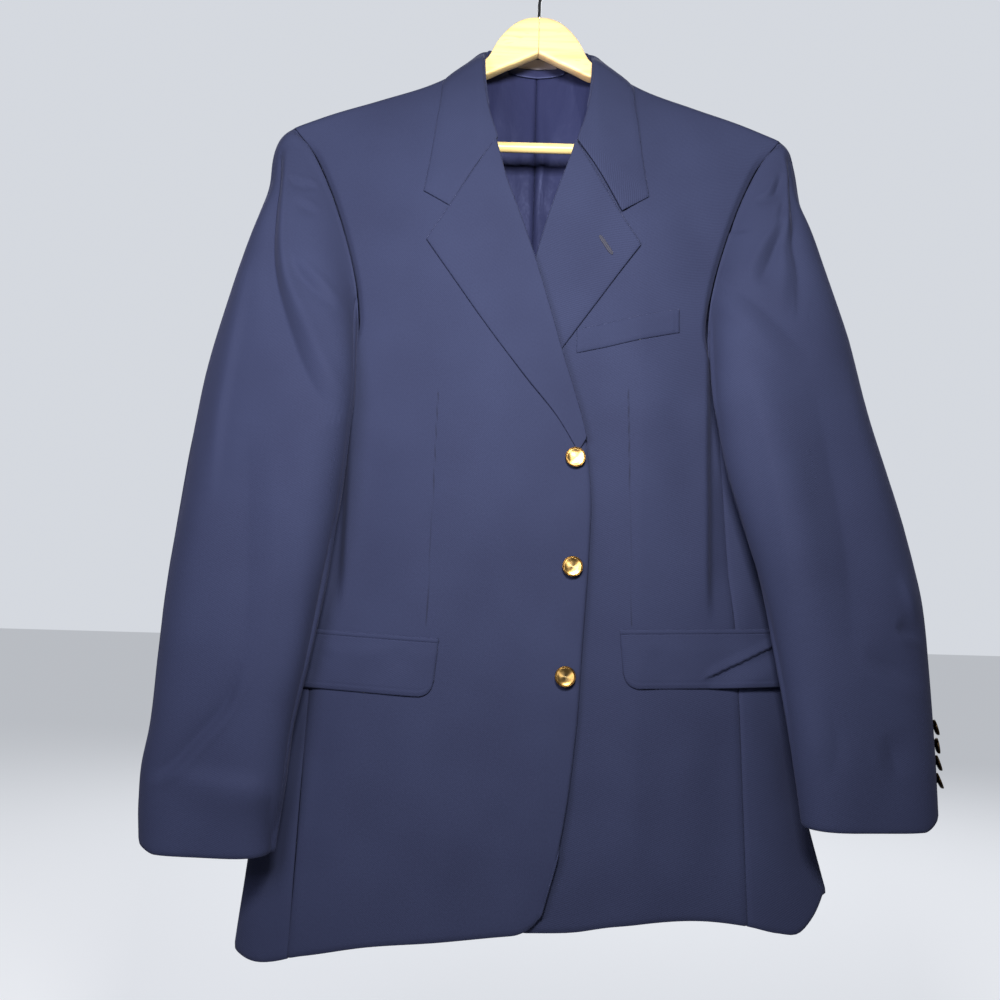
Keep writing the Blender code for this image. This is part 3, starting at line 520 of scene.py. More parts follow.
def front_face(x, z, side):
    """Outer face of a front at x and z, with its folds. The left one sinks behind the right one."""
    y = skin_depth(x, z, -1) - CLOTH
    if side == LEFT:
        y = y + UNDER_SINK * ease((112 - x) / 46) * ease((-255 - z) / 95)
    fullness = 1.0 - 0.75 * ease((-300 - z) / -120)
    waves = folds(FRONT_FOLDS[side], x, z) + 0.55 * unevenness(x, z, 1.3 * side) * fullness
    waves += folds([(*DARTS[side], 7, 0.9, 0, 0.0)], x, z)
    return np.stack([x, y - waves + tuck(x, z, side), z], -1)


def placed(piece, nodes):
    """The piece rides the jacket and stands for its CAD nodes, which it hides."""
    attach(piece, "root")
    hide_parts(*nodes)
    return piece


def word(side):
    """The side's name in a piece's name."""
    return "right" if side == RIGHT else "left"


def front(side):
    """A front: ruled between its closing edge and its armhole and side seam."""
    across, down = grid(104, 176, 1.15)

    def top_z(share):
        return smooth(SHOULDER_ROWS, 62 + 197 * share)[..., 0]

    def bottom_z(share):
        edge = edge_past_centre(np.array(-1015.0), side)
        x = edge * (1 - share) + side * 215 * share
        past = bounded(1 - np.abs(x - edge) / HEM_CORNER)
        return hem_height(x) + HEM_CORNER * (1 - np.sqrt(1 - past**2))

    x, z = ruled(lambda h: edge_past_centre(h, side),
                 lambda h: side * (armhole_x(h, ARMHOLE_FRONT_ROWS, 0) - SEAM_GAP),
                 top_z, bottom_z, across, down)
    points = front_face(x, z, side)
    step_out = np.abs(x - x[:, -1:])
    step_in = np.abs(x - x[:, :1])
    step_down = np.abs(z - z[-1:])
    groove = 1.2 + 2.4 * ease((z + 480) / 60)
    groove = np.where(z > -290, 0.3 + 3.3 * ease((-228 - z) / 40), groove)
    lower = pressed_edge(step_out, groove, 7) + pressed_edge(step_in, 0.9, 4)
    lower = lower + pressed_edge(step_down, 0.8, 4)
    x0, z0, x1, z1 = DARTS[side]
    run = (z - z0) / (z1 - z0)
    off = x - (x0 + (x1 - x0) * run)
    dart = np.abs(off) + 60 * bounded(np.maximum(-run, run - 1))
    points = pushed(points, lower, side == RIGHT)
    piece = shell("wool_front_" + word(side), points, WALL, wool_darted, flip=side == RIGHT,
                  marks={"dart": dart})
    return placed(piece, ["front_" + word(side)])


front(RIGHT)
front(LEFT)

# The side bodies: narrow panels under the arms, joined to each front and back by long seams, so
# that the jacket is shaped at the waist. They are of the same wool without canvas.
UNDERARM_ROWS = [
    # share of the side body's width from its front seam, z, degrees round the sleeve
    (0.0, -482, 212),
    (0.17, -496, 236),
    (0.38, -504, 256),
    (0.6, -504, 272),
    (0.8, -496, 285),
    (1.0, -476, 297),
]
SIDE_FOLDS = {
    RIGHT: [
        # share across x 100, z0, share x 100, z1, width, depth, bow, ridge
        (20, -560, 34, -760, 10, 2.0, 3, 1.0),
        (30, -840, 26, -1050, 12, 3.0, 3, 1.6),
        (66, -600, 60, -1040, 14, 2.0, -4, 1.0),
        (86, -520, 90, -700, 9, 1.6, 2, 0.8),
    ],
    LEFT: [
        (24, -640, 40, -760, 10, 2.2, 3, 1.2),
        (26, -830, 34, -1010, 12, 2.6, -3, 1.4),
        (62, -600, 70, -1000, 14, 2.0, 4, 1.0),
        (88, -520, 84, -720, 9, 1.6, 2, 0.8),
    ],
}


def side_ring(share, z, side):
    """X and y on the body's ring, by angle between the side body's front (0) and back (1) seam."""
    right, left, front_y, back_y, side_y = ring(z)
    half = right if side == RIGHT else left
    seams = smooth(SIDE_SEAM_ROWS, z)
    turns = np.arccos(bounded(seams / half[..., None]) ** (SIDE_ROUNDING / 2))
    turn = -turns[..., 0] * (1 - share) + turns[..., 1] * share
    x = side * half * np.abs(np.cos(turn)) ** (2 / SIDE_ROUNDING)
    centre = np.where(turn < 0, front_y, back_y)
    return x, side_y + (centre - side_y) * np.abs(np.sin(turn))


def side_body(side):
    """A side body: the ring between its two seams, from under the arm to the hem."""
    across, down = grid(50, 120)
    top = smooth([row[:2] for row in UNDERARM_ROWS], across)[..., 0] - 1.0
    level = top * (1 - down) + down * HEM_ROWS[0][1]
    bottom = hem_height(side_ring(across, level, side)[0])
    z = top * (1 - down) + bottom * down
    x, y = side_ring(across, z, side)
    points = np.stack([x, y, z], -1)
    width = 90.0
    inside = ease(across * 5) * ease((1 - across) * 5)
    height = (CLOTH + folds(SIDE_FOLDS[side], across * 100, z)
              + 0.7 * unevenness(across * width, z, 2.1 * side) * inside)
    height = height + pressed_edge(across * width, 1.0, 5) + pressed_edge((1 - across) * width, 1.0, 5)
    height = height + pressed_edge(z - bottom, 0.8, 4) - tuck(x, z, side) * ease((0.5 - across) * 4)
    points = pushed(points, height, side == RIGHT)
    piece = shell("wool_side_" + word(side), points, WALL, wool, flip=side == RIGHT)
    return placed(piece, ["side_" + word(side)])


side_body(RIGHT)
side_body(LEFT)

# The backs: two panels of the same wool joined by a centre seam, plain, with no vents. They hang
# from the shoulder blades, close over the hollow of the back and fall free to the hem.
CENTRE_GAP, BACK_HEM_HALF = 0.15, 232.0
BACK_FOLDS = {
    RIGHT: [
        # x0, z0, x1, z1, width, depth, bow, ridge
        (-176, -300, -160, -520, 22, 2.6, 8, 1.6),
        (-120, -230, -150, -380, 26, 1.8, 6, 1.0),
        (-60, -470, -74, -760, 30, 2.2, -8, 1.3),
        (-130, -620, -150, -990, 30, 2.6, 8, 1.6),
        (-196, -560, -204, -780, 18, 2.0, 4, 1.2),
        (-46, -820, -52, -1030, 26, 1.8, 4, 1.2),
        (-30, -560, -110, -600, 14, 1.6, 6, 1.0),
    ],
    LEFT: [
        (178, -300, 164, -500, 22, 2.6, -8, 1.6),
        (120, -230, 148, -370, 26, 1.8, -6, 1.0),
        (66, -500, 76, -780, 30, 2.2, 8, 1.3),
        (136, -600, 158, -960, 30, 2.6, -8, 1.6),
        (196, -560, 206, -760, 18, 2.0, -4, 1.2),
        (40, -850, 50, -1020, 26, 1.8, -4, 1.2),
        (24, -585, 96, -610, 14, 1.4, -6, 0.9),
    ],
}


def back(side):
    """A back: ruled between the centre seam and its armhole and side seam."""
    across, down = grid(78, 130, 1.15)

    def top_z(share):
        return smooth(NECK_ROWS, 259 * share)[..., 0]

    def bottom_z(share):
        return hem_height(side * BACK_HEM_HALF * share) + 2.0

    x, z = ruled(lambda h: side * CENTRE_GAP + 0 * h,
                 lambda h: side * (armhole_x(h, ARMHOLE_BACK_ROWS, 1) - SEAM_GAP),
                 top_z, bottom_z, across, down)
    points = np.stack([x, skin_depth(x, z, 1) + 0.3, z], -1)
    drape = ease((-260 - z) / 120)
    height = CLOTH + folds(BACK_FOLDS[side], x, z) + 0.9 * unevenness(x, z, 3.4 * side) * drape
    below_neck = ease((-z - 118) / 30)
    height = height * below_neck + CLOTH * (1 - below_neck)
    height = height + pressed_edge(np.abs(x), 1.2, 6)
    height = height - 2.2 * bell(x / 26) * ease((-420 - z) / 160)
    height = height + pressed_edge(np.abs(x - x[:, -1:]), 1.0, 5) + pressed_edge(z - z[-1:], 0.8, 4)
    points = pushed(points, height, side == LEFT)
    piece = shell("wool_back_" + word(side), points, WALL, wool, flip=side == LEFT)
    return placed(piece, ["back_" + word(side)])


back(RIGHT)
back(LEFT)

# The lapels: the facing of each front, turned back on the roll line over canvas. Each is a soft
# roll at the fold, lies nearly flat on the chest and lifts a little at its sharp outer edge.
LAPEL_ROLL, COLLAR_ROLL = 2.4, 2.2       # radius of the fold
LAPEL_EDGE_ROWS = [
    # z, distance past the centre line: right, left lapel
    (-359, -110, -107),
    (-400, -81, -77),
    (-457, -40, -37),
    (-501, -6, -6),
    (-540, 26, 26),
    (-574, 47, 47),
]


def rolled(points, radius, leg, flip=False):
    """Adds columns before the first: a half circle of this radius inward round the fold, and a
    short leg back along the cloth, so that the fold shows no cut edge."""
    outward = normals(points, flip)[:, :1]
    along = unit(points[:, 1:2] - points[:, :1])
    turn = np.linspace(np.pi, 0, 11)[None, :-1, None]
    centre = points[:, :1] - outward * radius
    arc = centre + outward * radius * np.cos(turn) - along * radius * np.sin(turn)
    legs = points[:, :1] - outward * 2 * radius + along * leg * np.array([1.0, 0.5])[None, :, None]
    return np.concatenate([legs, arc, points], axis=1)


def lapel(side):
    """A lapel: ruled between the roll line and its outer edge, moved out of its front."""
    across, down = grid(46, 120)
    edge_rows = [(row[0], row[1] if side == RIGHT else row[2]) for row in LAPEL_EDGE_ROWS]
    x, z = ruled(lambda h: edge_past_centre(h, side),
                 lambda h: -side * smooth(edge_rows, h)[..., 0],
                 lambda s: -250.0 * (1 - s) + LAPEL_EDGE_ROWS[0][0] * s,
                 lambda s: -562.0 * (1 - s) + LAPEL_EDGE_ROWS[-1][0] * s, across, down)
    belly = np.sin(np.pi * across) * 1.2 * (1 - down)
    lift = 1.6 + 4.6 * (1 - across) ** 2 * (1 - 0.72 * down) + belly
    lift = lift + 1.5 * ease((across - 0.72) / 0.28) * (1 - 0.6 * down)
    lift = lift + 0.35 * unevenness(x * 1.5, z * 1.5, 0.7 * side)
    lift = lift + pressed_edge((1 - across) * 60 * (1 - 0.8 * down) + 0.01, 0.5, 4)
    points = pushed(front_face(x, z, side), lift, side == RIGHT)
    points = rolled(points, LAPEL_ROLL, 8.0, side == RIGHT)
    piece = shell("wool_lapel_" + word(side), points, WALL, wool, flip=side == RIGHT)
    return placed(piece, ["lapel_" + word(side)])


lapel(RIGHT)
lapel(LEFT)

# The buttonhole of the left lapel: a bar of navy buttonhole twist, whipped on both lips of a slit.
twist = finish_named("navy buttonhole twist", Base_Color=linear("1d2036"), Roughness=0.6,
                     Sheen_Weight=0.2)[0]


def stitched_bar(name, x0, z0, x1, z1, width, lift, depth_of):
    """A slim bar: across it height = lift * root(1 - t^2) less a slit at its middle, and along it
    fine whipped stitches of 0.8 mm."""
    t, s = np.meshgrid(np.linspace(-1, 1, 13), np.linspace(0, 1, 90))
    length = np.hypot(x1 - x0, z1 - z0)
    ux, uz = (x1 - x0) / length, (z1 - z0) / length
    half = width / 2 * (1 - 0.5 * np.abs(2 * s - 1) ** 6)
    x = x0 + (x1 - x0) * s - uz * t * half
    z = z0 + (z1 - z0) * s + ux * t * half
    height = lift * np.sqrt(bounded(1 - t**2)) - lift * 0.7 * bell(t / 0.22)
    height = height + 0.08 * np.sin(s * length / 0.8 * np.pi)
    points = np.stack([x, depth_of(x, z) - height, z], -1)
    return shell(name, points, 0.5, twist)


LAPEL_FACE = 3.4         # how far the lapel's face stands out of its front there


def left_lapel_depth(x, z):
    """Y of the left lapel's face near its buttonhole."""
    return front_face(x, z, LEFT)[..., 1] - LAPEL_FACE


piece = stitched_bar("lapel_buttonhole", 65.5, -349, 78.5, -369, 4.2, 0.8, left_lapel_depth)
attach(piece, "root")

# The collar: wool on a canvas base, one piece from notch to notch. Its fall lies on the fronts and
# the back; its stand rises from the neck seam inside, and both meet in the fold.
COLLAR_ROWS = [
    # along, fold x, fold z, edge x, edge z, fold lift, edge lift, on the back (0 to 1)
    (0, 42.5, -246, 88, -322, 5.0, 2.4, 0),
    (10, 44, -240.5, 115.5, -305, 5.0, 2.4, 0),
    (50, 52.5, -210, 109.5, -260, 5.0, 2.6, 0),
    (90, 59, -168, 105.5, -216, 4.5, 4.0, 0),
    (120, 61, -140, 102.5, -180, 5.0, 5.0, 0),
    (130, 61.5, -130, 103.5, -166, 6.0, 6.0, 0.05),
    (140, 61.5, -121, 104, -154, 3.5, 6.8, 0.5),
    (150, 60, -114, 102, -157, 5.0, 6.0, 0.95),
    (160, 56, -108, 96, -160, 4.0, 5.0, 1),
    (172, 48, -102, 82, -156, 3.0, 5.0, 1),
    (185, 37, -97, 63, -150, 3.0, 5.0, 1),
    (230, 0, -92, 0, -142, 3.0, 5.0, 1),
]
COLLAR_HALF = COLLAR_ROWS[-1][0]


def collar_half(along, across, side):
    """The fall on one side: along it from the notch to the centre back, across from fold to edge.

    On the front its depth is the skin's less a lift, on the back the skin's plus a lift, and it
    passes from one to the other over the shoulder."""
    front = smooth(COLLAR_ROWS[:2], along)
    row = np.moveaxis(np.where(along[..., None] < 10, front, smooth(COLLAR_ROWS[1:], along)), -1, 0)
    fold_x, fold_z, edge_x, edge_z, fold_lift, edge_lift, behind = row
    x = side * (fold_x * (1 - across) + edge_x * across)
    z = fold_z * (1 - across) + edge_z * across
    lift = fold_lift * (1 - across) ** 2 + edge_lift * (1 - (1 - across) ** 2) + CLOTH
    behind = ease(behind)
    y = (skin_depth(x, z, -1) - lift) * (1 - behind) + (skin_depth(x, z, 1) + lift) * behind
    bow = 2.0 * np.sin(np.pi * across)
    return np.stack([x + side * bow * 0.4, y, z + bow], -1)


def evened(points, times):
    """The grid with each row replaced by the mean of itself and its two neighbours, in turn."""
    for _ in range(times):
        points = points.copy()
        points[1:-1] = (points[:-2] + 2 * points[1:-1] + points[2:]) / 4
    return points


half_along = np.concatenate([np.linspace(0, 10, 10)[:-1], np.linspace(10, COLLAR_HALF, 92)])
across, along = np.meshgrid(np.linspace(0, 1, 24), half_along)
right_half = collar_half(along, across, RIGHT)
left_half = collar_half(along, across, LEFT)[::-1]
points = np.concatenate([right_half, left_half[1:]])
points[12:-12] = evened(points[12:-12], 14)
points = np.swapaxes(rolled(points, COLLAR_ROLL, 6.0), 0, 1)
notch = np.minimum(np.linspace(0, 470, points.shape[1]), np.linspace(470, 0, points.shape[1]))
edge = np.linspace(48, 0, points.shape[0])[:, None]
points = pushed(points, pressed_edge(edge, 0.7, 5) + pressed_edge(notch, 0.4, 4), True)
piece = shell("wool_collar_fall", points, WALL, wool, flip=True)
placed(piece, ["collar"])

STAND_TURN = 135.0       # how far along the collar its stand passes from the fronts to the back
stand_along = np.linspace(60, COLLAR_HALF, 80)
halves = []
for side in (RIGHT, LEFT):
    fold = collar_half(stand_along, 0 * stand_along, side)
    seam = smooth(NECK_ROWS, np.abs(fold[:, 0]))
    behind = ease((stand_along - STAND_TURN) / 25)
    inward = np.stack([-0.05 * fold[:, 0], -3.6 * behind + 2.6 * (1 - behind), 0 * behind], -1)
    top = fold + inward + np.array([0, 0, -1.6])
    low_z = np.minimum(seam[:, 0] + 0.2, top[:, 2] - 5)
    low_back = np.stack([fold[:, 0], seam[:, 1] + 0.6, low_z], -1)
    low_front = top + np.array([side * 7.0, -2.0, -9.0])
    low = low_back * behind[:, None] + low_front * (1 - behind[:, None])
    share = np.linspace(0, 1, 9)[:, None, None]
    halves.append(top * (1 - share) + low * share)
stand = np.concatenate([halves[0], halves[1][:, ::-1][:, 1:]], axis=1)
piece = shell("wool_collar_stand", stand, 1.0, wool)
placed(piece, ["collar_stand"])

# The sleeves: a wide top sleeve and a narrow under sleeve, sewn into the armhole over a little
# wadding. They hang free in front of the side bodies, curve forward at the elbow and crease there.
SLEEVE_ROWS = {
    RIGHT: [
        # z, outer x, inner x, outer y, inner y, front belly, back belly out, back belly in
        (-530, 333, 177, -33, -67, 44, 32, 2),
        (-600, 342, 183, -35, -68, 44, 32, 4),
        (-700, 351, 195, -40, -68, 42, 30, 6),
        (-780, 354, 208, -44, -68, 38, 26, 8),
        (-850, 356, 220, -48, -68, 33, 24, 10),
        (-890, 361, 224, -50, -67, 30, 24, 11),
        (-920, 360, 227, -52, -66, 28, 24, 12),
        (-961, 356, 230, -54, -64, 26, 24, 14),
    ],
    LEFT: [
        (-530, 345, 182, -33, -67, 44, 32, 2),
        (-590, 361, 192, -35, -68, 44, 32, 4),
        (-650, 375, 210, -38, -68, 44, 30, 6),
        (-700, 384, 226, -42, -68, 41, 28, 6),
        (-780, 389, 242, -46, -68, 37, 26, 8),
        (-850, 392, 253, -50, -67, 32, 24, 10),
        (-923, 393, 264, -54, -64, 26, 24, 14),
    ],
}
SLEEVE_SEAMS = {RIGHT: (326.0, 172.0), LEFT: (352.0, 184.0)}     # back and front, degrees round it
SHOULDER_END_ROLL = {RIGHT: 10.0, LEFT: 5.5}
CAP_REACH, SHOULDER_DROP, ROLL_AT = 72.0, 170.0, 0.13
HEAD_RISE, CUFF_CORNER = 1.6, {RIGHT: 5.5, LEFT: 9.0}
SLEEVE_CREASES = {
    # each a path on the front of (|x|, z, width, depth); a negative depth is a ridge
    RIGHT: [
        [(268, -252, 3, 0), (269, -282, 4, 7), (268, -312, 4.5, 10), (267, -345, 5, 12),
         (265, -378, 5.5, 13), (259, -410, 6, 13), (249, -440, 7, 12), (236, -472, 8, 11),
         (221, -505, 8, 9), (205, -533, 8, 6), (188, -556, 8, 0)],
        [(258, -294, 3, 0), (247, -300, 3, 3.6), (236, -309, 3, 0)],
        [(244, -296, 2.5, 0), (235, -301, 2.6, 2.8), (226, -306, 2.5, 0)],
        [(248, -322, 3, 0), (236, -330, 3.5, 3), (222, -337, 3, 0)],
        [(245, -390, 3.5, 0), (232, -408, 4.5, 5), (216, -425, 5, 5.6), (196, -443, 4, 0)],
        [(286, -380, 5, 0), (290, -440, 6, -2.8), (295, -503, 6, -3.2), (300, -570, 6, -3),
         (302, -650, 6, 0)],
        [(270, -560, 9, 0), (266, -650, 12, 3.4), (262, -730, 12, 3.4), (262, -800, 9, 0)],
        [(234, -640, 8, 0), (229, -700, 8, 2.2), (230, -754, 8, 2.6), (232, -810, 8, 0)],
        [(262, -786, 4, 0), (278, -826, 4.5, 5), (305, -858, 5, 7), (325, -881, 5, 6),
         (348, -896, 4, 0)],
        [(330, -892, 8, 0), (288, -898, 11, -4.4), (252, -900, 10, -4), (235, -898, 8, 0)],
        [(236, -906, 6, 0), (232, -938, 8, 7), (224, -968, 7, 6)],
        [(336, -560, 10, 0), (338, -640, 12, 2.8), (346, -740, 10, 0)],
    ],
    LEFT: [
        [(264, -242, 2.5, 0), (267, -268, 3, 6), (267, -292, 3.5, 9), (266, -316, 4, 10),
         (264, -338, 4.5, 9), (262, -358, 6, 7), (264, -382, 7, 6), (263, -408, 8, 4.6),
         (259, -440, 8, 0)],
        [(255, -270, 2.4, 0), (250, -287, 2.8, 5), (243, -299, 3, 4.6), (226, -307, 2.6, 0)],
        [(254, -326, 3, 0), (248, -346, 4.5, 7), (240, -364, 5.5, 8.5), (229, -388, 5.5, 5),
         (222, -404, 4, 0)],
        [(258, -300, 2, 0), (252, -316, 2.4, 2.4), (246, -332, 2, 0)],
        [(196, -334, 2.4, 0), (207, -337, 2.6, 2), (222, -340, 2.4, 0)],
        [(190, -392, 6, 0), (207, -412, 9, 5), (226, -431, 10, 5), (250, -458, 11, 3.4),
         (272, -484, 10, 0)],
        [(344, -737, 3, 0), (356, -741, 4, 4), (376, -748, 3, 0)],
        [(312, -762, 6, 0), (342, -777, 7, 4), (374, -794, 6, 0)],
        [(351, -684, 5, 0), (359, -710, 6, -2.8), (366, -736, 5, 0)],
        [(270, -500, 14, 0), (290, -600, 18, 5), (302, -700, 18, 5), (302, -780, 14, 0)],
        [(206, -480, 8, 0), (224, -560, 10, -4), (242, -650, 11, -4), (256, -756, 10, 0)],
        [(275, -796, 8, 0), (288, -845, 9, 3.4), (279, -888, 8, 0)],
        [(333, -835, 6, 0), (341, -855, 7, 3), (347, -878, 6, 0)],
        [(322, -450, 10, 0), (346, -540, 12, 4), (368, -640, 10, 0)],
    ],
}
SLEEVE_BACK_FOLDS = [
    # on the back: |x| 0, z0, |x| 1, z1, width, depth, bow, ridge
    (262, -330, 246, -440, 14, 3.0, 4, 1.8),
    (300, -420, 270, -540, 16, 3.4, -5, 2.0),
    (330, -640, 270, -690, 9, 2.6, 4, 1.8),
    (342, -690, 280, -730, 8, 2.2, 4, 1.6),
    (336, -740, 290, -766, 8, 1.8, 3, 1.2),
    (300, -800, 316, -900, 16, 2.0, 4, 1.2),
]


def armhole_loop(angle, side):
    """The armhole's point for each angle round the sleeve, on the panels' outer faces."""
    rows = []
    for z, x, turn in ARMHOLE_FRONT_ROWS:
        rows.append((turn, x, float(skin_depth(np.array(side * x), np.array(z), -1)) - 0.8, z))
    for share, z, turn in UNDERARM_ROWS[1:-1]:
        x, y = side_ring(np.array(share), np.array(float(z)), LEFT)
        rows.append((turn, float(x) + 1.6, float(y), z))
    for z, x, turn in ARMHOLE_BACK_ROWS:
        rows.append((turn, x, float(skin_depth(np.array(side * x), np.array(z), 1)) + 0.8, z))
    return smooth(rows, np.mod(angle, 360.0001))


def tube_ring(z, angle, rows):
    """The sleeve's cross-section at a height: x = inner + (outer - inner) (1 + cos a) / 2, and
    y the same mix of the edges' depths less belly * sin a, deeper in front than behind."""
    outer_x, inner_x, outer_y, inner_y, front, back_out, back_in = np.moveaxis(smooth(rows, z), -1, 0)
    turn = np.radians(angle)
    outward = (1 + np.cos(turn)) / 2
    x = inner_x + (outer_x - inner_x) * outward
    y = inner_y + (outer_y - inner_y) * outward
    back_belly = back_in + (back_out - back_in) * outward
    y = y - np.sin(turn) * np.where(np.sin(turn) > 0, front, back_belly)
    return np.stack([x, y, z + 0 * x], -1)


def sleeve_skin(angle, down, side):
    """The sleeve's inner face: down from 0 to 1 a cubic leaves the armhole sideways, rounds out
    over the shoulder's end and falls into the first ring; from 1 to 2 the rings follow each other
    to the cuff."""
    rows = SLEEVE_ROWS[side]
    start = armhole_loop(angle, side)
    first = tube_ring(np.full(angle.shape, float(rows[0][0])), angle, rows)
    below = tube_ring(np.full(angle.shape, float(rows[0][0]) - 10.0), angle, rows)
    turn = np.radians(angle)
    outward = (1 + np.cos(turn)) / 2
    edge = bounded(np.cos(turn)) ** 2
    reach = CAP_REACH * (0.25 + 0.75 * outward - 0.25 * edge)
    forward = np.where(np.sin(turn) > 0, 1.0, outward)
    leave = np.stack([reach, -np.sin(turn) * reach * 0.75 * forward - 6,
                      -reach * 0.3 - SHOULDER_DROP * edge], -1)
    fall = (below - first) / 10.0 * (start[..., 2:] - first[..., 2:])
    t = bounded(down)[..., None]
    cap = cubic(t, start, leave, first, fall)
    past = t[..., 0] / ROLL_AT
    swell = past * np.exp((1 - past**2) / 2)
    cap[..., 0] += SHOULDER_END_ROLL[side] * swell * bounded(np.cos(turn))
    low = bounded(down - 1)
    tube = tube_ring(rows[0][0] + (rows[-1][0] - rows[0][0]) * low, angle, rows)
    tube[..., 2] -= 2.5 * ease(low * 3 - 2) * bounded(np.sin(turn))
    return np.where(down[..., None] <= 1, cap, tube)


def sleeve_piece(name, node_name, first, last, columns, side):
    """A sleeve piece between two seams, with its folds and a rolled head along the armhole."""
    angles = np.linspace(first, last, columns)
    downs = np.concatenate([np.linspace(0, 1, 100) ** 1.2, np.linspace(1, 2, 112)[1:]])
    angle, down = np.meshgrid(angles, downs)
    points = sleeve_skin(angle, down, side)
    x, z = points[..., 0].copy(), points[..., 2].copy()
    cuff_z, cuff_x = SLEEVE_ROWS[side][-1][:2]
    in_front = ease((np.sin(np.radians(angle)) + 0.25) / 0.5)
    height = sum(crease(path, x, z) for path in SLEEVE_CREASES[side]) * in_front
    height += 4.0 * np.sin(np.radians(2 * angle)) ** 2 * in_front * ease(down * 1.6 - 0.4)
    height += folds(SLEEVE_BACK_FOLDS, x, z) * (1 - in_front)
    height += 1.1 * unevenness(x * 1.2, z, 0.9 * side + 2 * in_front) * ease(down * 2)
    head = bounded(np.cos(np.radians(angle - 35)))
    height += HEAD_RISE + (0.6 + 1.4 * head) * bell((down - 0.06) / 0.05)
    height -= HEAD_RISE * head * bell((z + 296) / 22)
    on_top = ease((np.cos(np.radians(angle)) - 0.6) / 0.3)
    height += pressed_edge(down * 260, 4.2, 11) * (1 - 0.8 * on_top)
    seam = np.minimum(angle - first, last - angle) * 1.5
    height += pressed_edge(seam, 0.7, 5)
    cuff = z - z[-1:]
    height += pressed_edge(np.abs(cuff), 0.7, 4)
    corner = ease((x - cuff_x + 22) / 22) * ease((cuff_z + 40 - z) / 40)
    points[..., 2] += CUFF_CORNER[side] * corner
    points[..., 0] *= side
    points = pushed(points, height, side == LEFT)
    piece = shell(name, points, WALL, wool, flip=side == LEFT)
    return placed(piece, [node_name])


for side, (back_seam, front_seam) in SLEEVE_SEAMS.items():
    sleeve_piece("wool_top_sleeve_" + word(side), "top_sleeve_" + word(side),
                 back_seam - 360, front_seam, 160, side)
    sleeve_piece("wool_under_sleeve_" + word(side), "under_sleeve_" + word(side),
                 front_seam, back_seam, 44, side)

# The flap pockets: a flap of wool with rounded corners, sewn into a slit of the front, and the thin
# folded jet that edges the slit above it. Both bend round on to the side body.
FLAP_WIDTH, FLAP_HEIGHT, FLAP_CORNER, JET_HEIGHT = 168.0, 51.0, 16.0, 5.0
FLAPS = {RIGHT: (-84.0, -765.0, 0.045), LEFT: (91.0, -752.0, 0.03)}
FLAP_FOLDS = {
    RIGHT: [(-110, -770, -150, -812, 14, 1.2, 3, 0.8), (-190, -768, -214, -806, 12, 1.2, -2, 0.8)],
    LEFT: [(120, -760, 150, -800, 14, 0.9, 3, 0.6)],
}
FLAP_PLEAT = (242.0, -759.5, 168.0, -794.0)      # the left flap's outer corner is folded along this
FRONT_SEAM_AT, FLAP_WALL, JET_WALL = 186, 1.1, 1.0


def on_body(x, z, side, lift):
    """Points a lift above the outer face of the front and, past its seam, of the side body."""
    skin = np.stack([x, skin_depth(x, z, -1), z], -1)
    past = np.abs(x) - FRONT_SEAM_AT
    kept = 1 - ease(past / 22)
    waves = CLOTH + (front_face(x, z, side)[..., 1] - skin[..., 1] + CLOTH) * -kept
    return pushed(skin, waves + lift + 1.4 * ease(past / 34), side == RIGHT)


def pocket(side):
    """A flap and its jet. The flap's lower corners are quarter circles and its edge is pressed."""
    inner_x, top, rise = FLAPS[side]
    across, down = grid(84, 44)
    x = inner_x + side * (FLAP_WIDTH * across + 3 * down * (1 - across))
    end = np.minimum(across, 1 - across) * FLAP_WIDTH
    past = bounded(1 - end / FLAP_CORNER)
    height = FLAP_HEIGHT - FLAP_CORNER * (1 - np.sqrt(1 - past**2))
    z = top + rise * FLAP_WIDTH * across - height * down
    edge = np.minimum(end, height * (1 - down))
    lift = 1.7 + 0.9 * ease(down * 3) + folds(FLAP_FOLDS[side], x, z) * ease(down * 4)
    lift = lift + 0.25 * unevenness(x * 2, z * 2, side) * down
    if side == LEFT:
        x0, z0, x1, z1 = FLAP_PLEAT
        below = z0 + (x - x0) * (z1 - z0) / (x1 - x0) - z
        strength = ease((x - x1) / 16)
        lift += strength * (2.0 * ease((7 - below) / 7) * (below < 0) * ease((below + 12) / 12))
        lift += strength * (below >= 0) * (-1.6 + 4.2 * ease(below / 26))
    lift = np.maximum(lift, 1.5) + pressed_edge(edge, 0.8, 4.5)
    lift = lift - 0.35 * bell((edge - 5.5) / 0.8)
    piece = shell("wool_flap_" + word(side), on_body(x, z, side, lift), FLAP_WALL, wool,
                  flip=side == RIGHT)
    placed(piece, ["flap_" + word(side)])

    across, down = grid(90, 12)
    x = inner_x + side * FLAP_WIDTH * across
    z = top + rise * FLAP_WIDTH * across + JET_HEIGHT * (1 - down)
    lift = 0.5 + 1.3 * np.sqrt(bounded(1 - (2 * down - 1) ** 2))
    piece = shell("wool_jet_" + word(side), on_body(x, z, side, lift), JET_WALL, wool,
                  flip=side == RIGHT)
    placed(piece, ["jet_" + word(side)])


pocket(RIGHT)
pocket(LEFT)

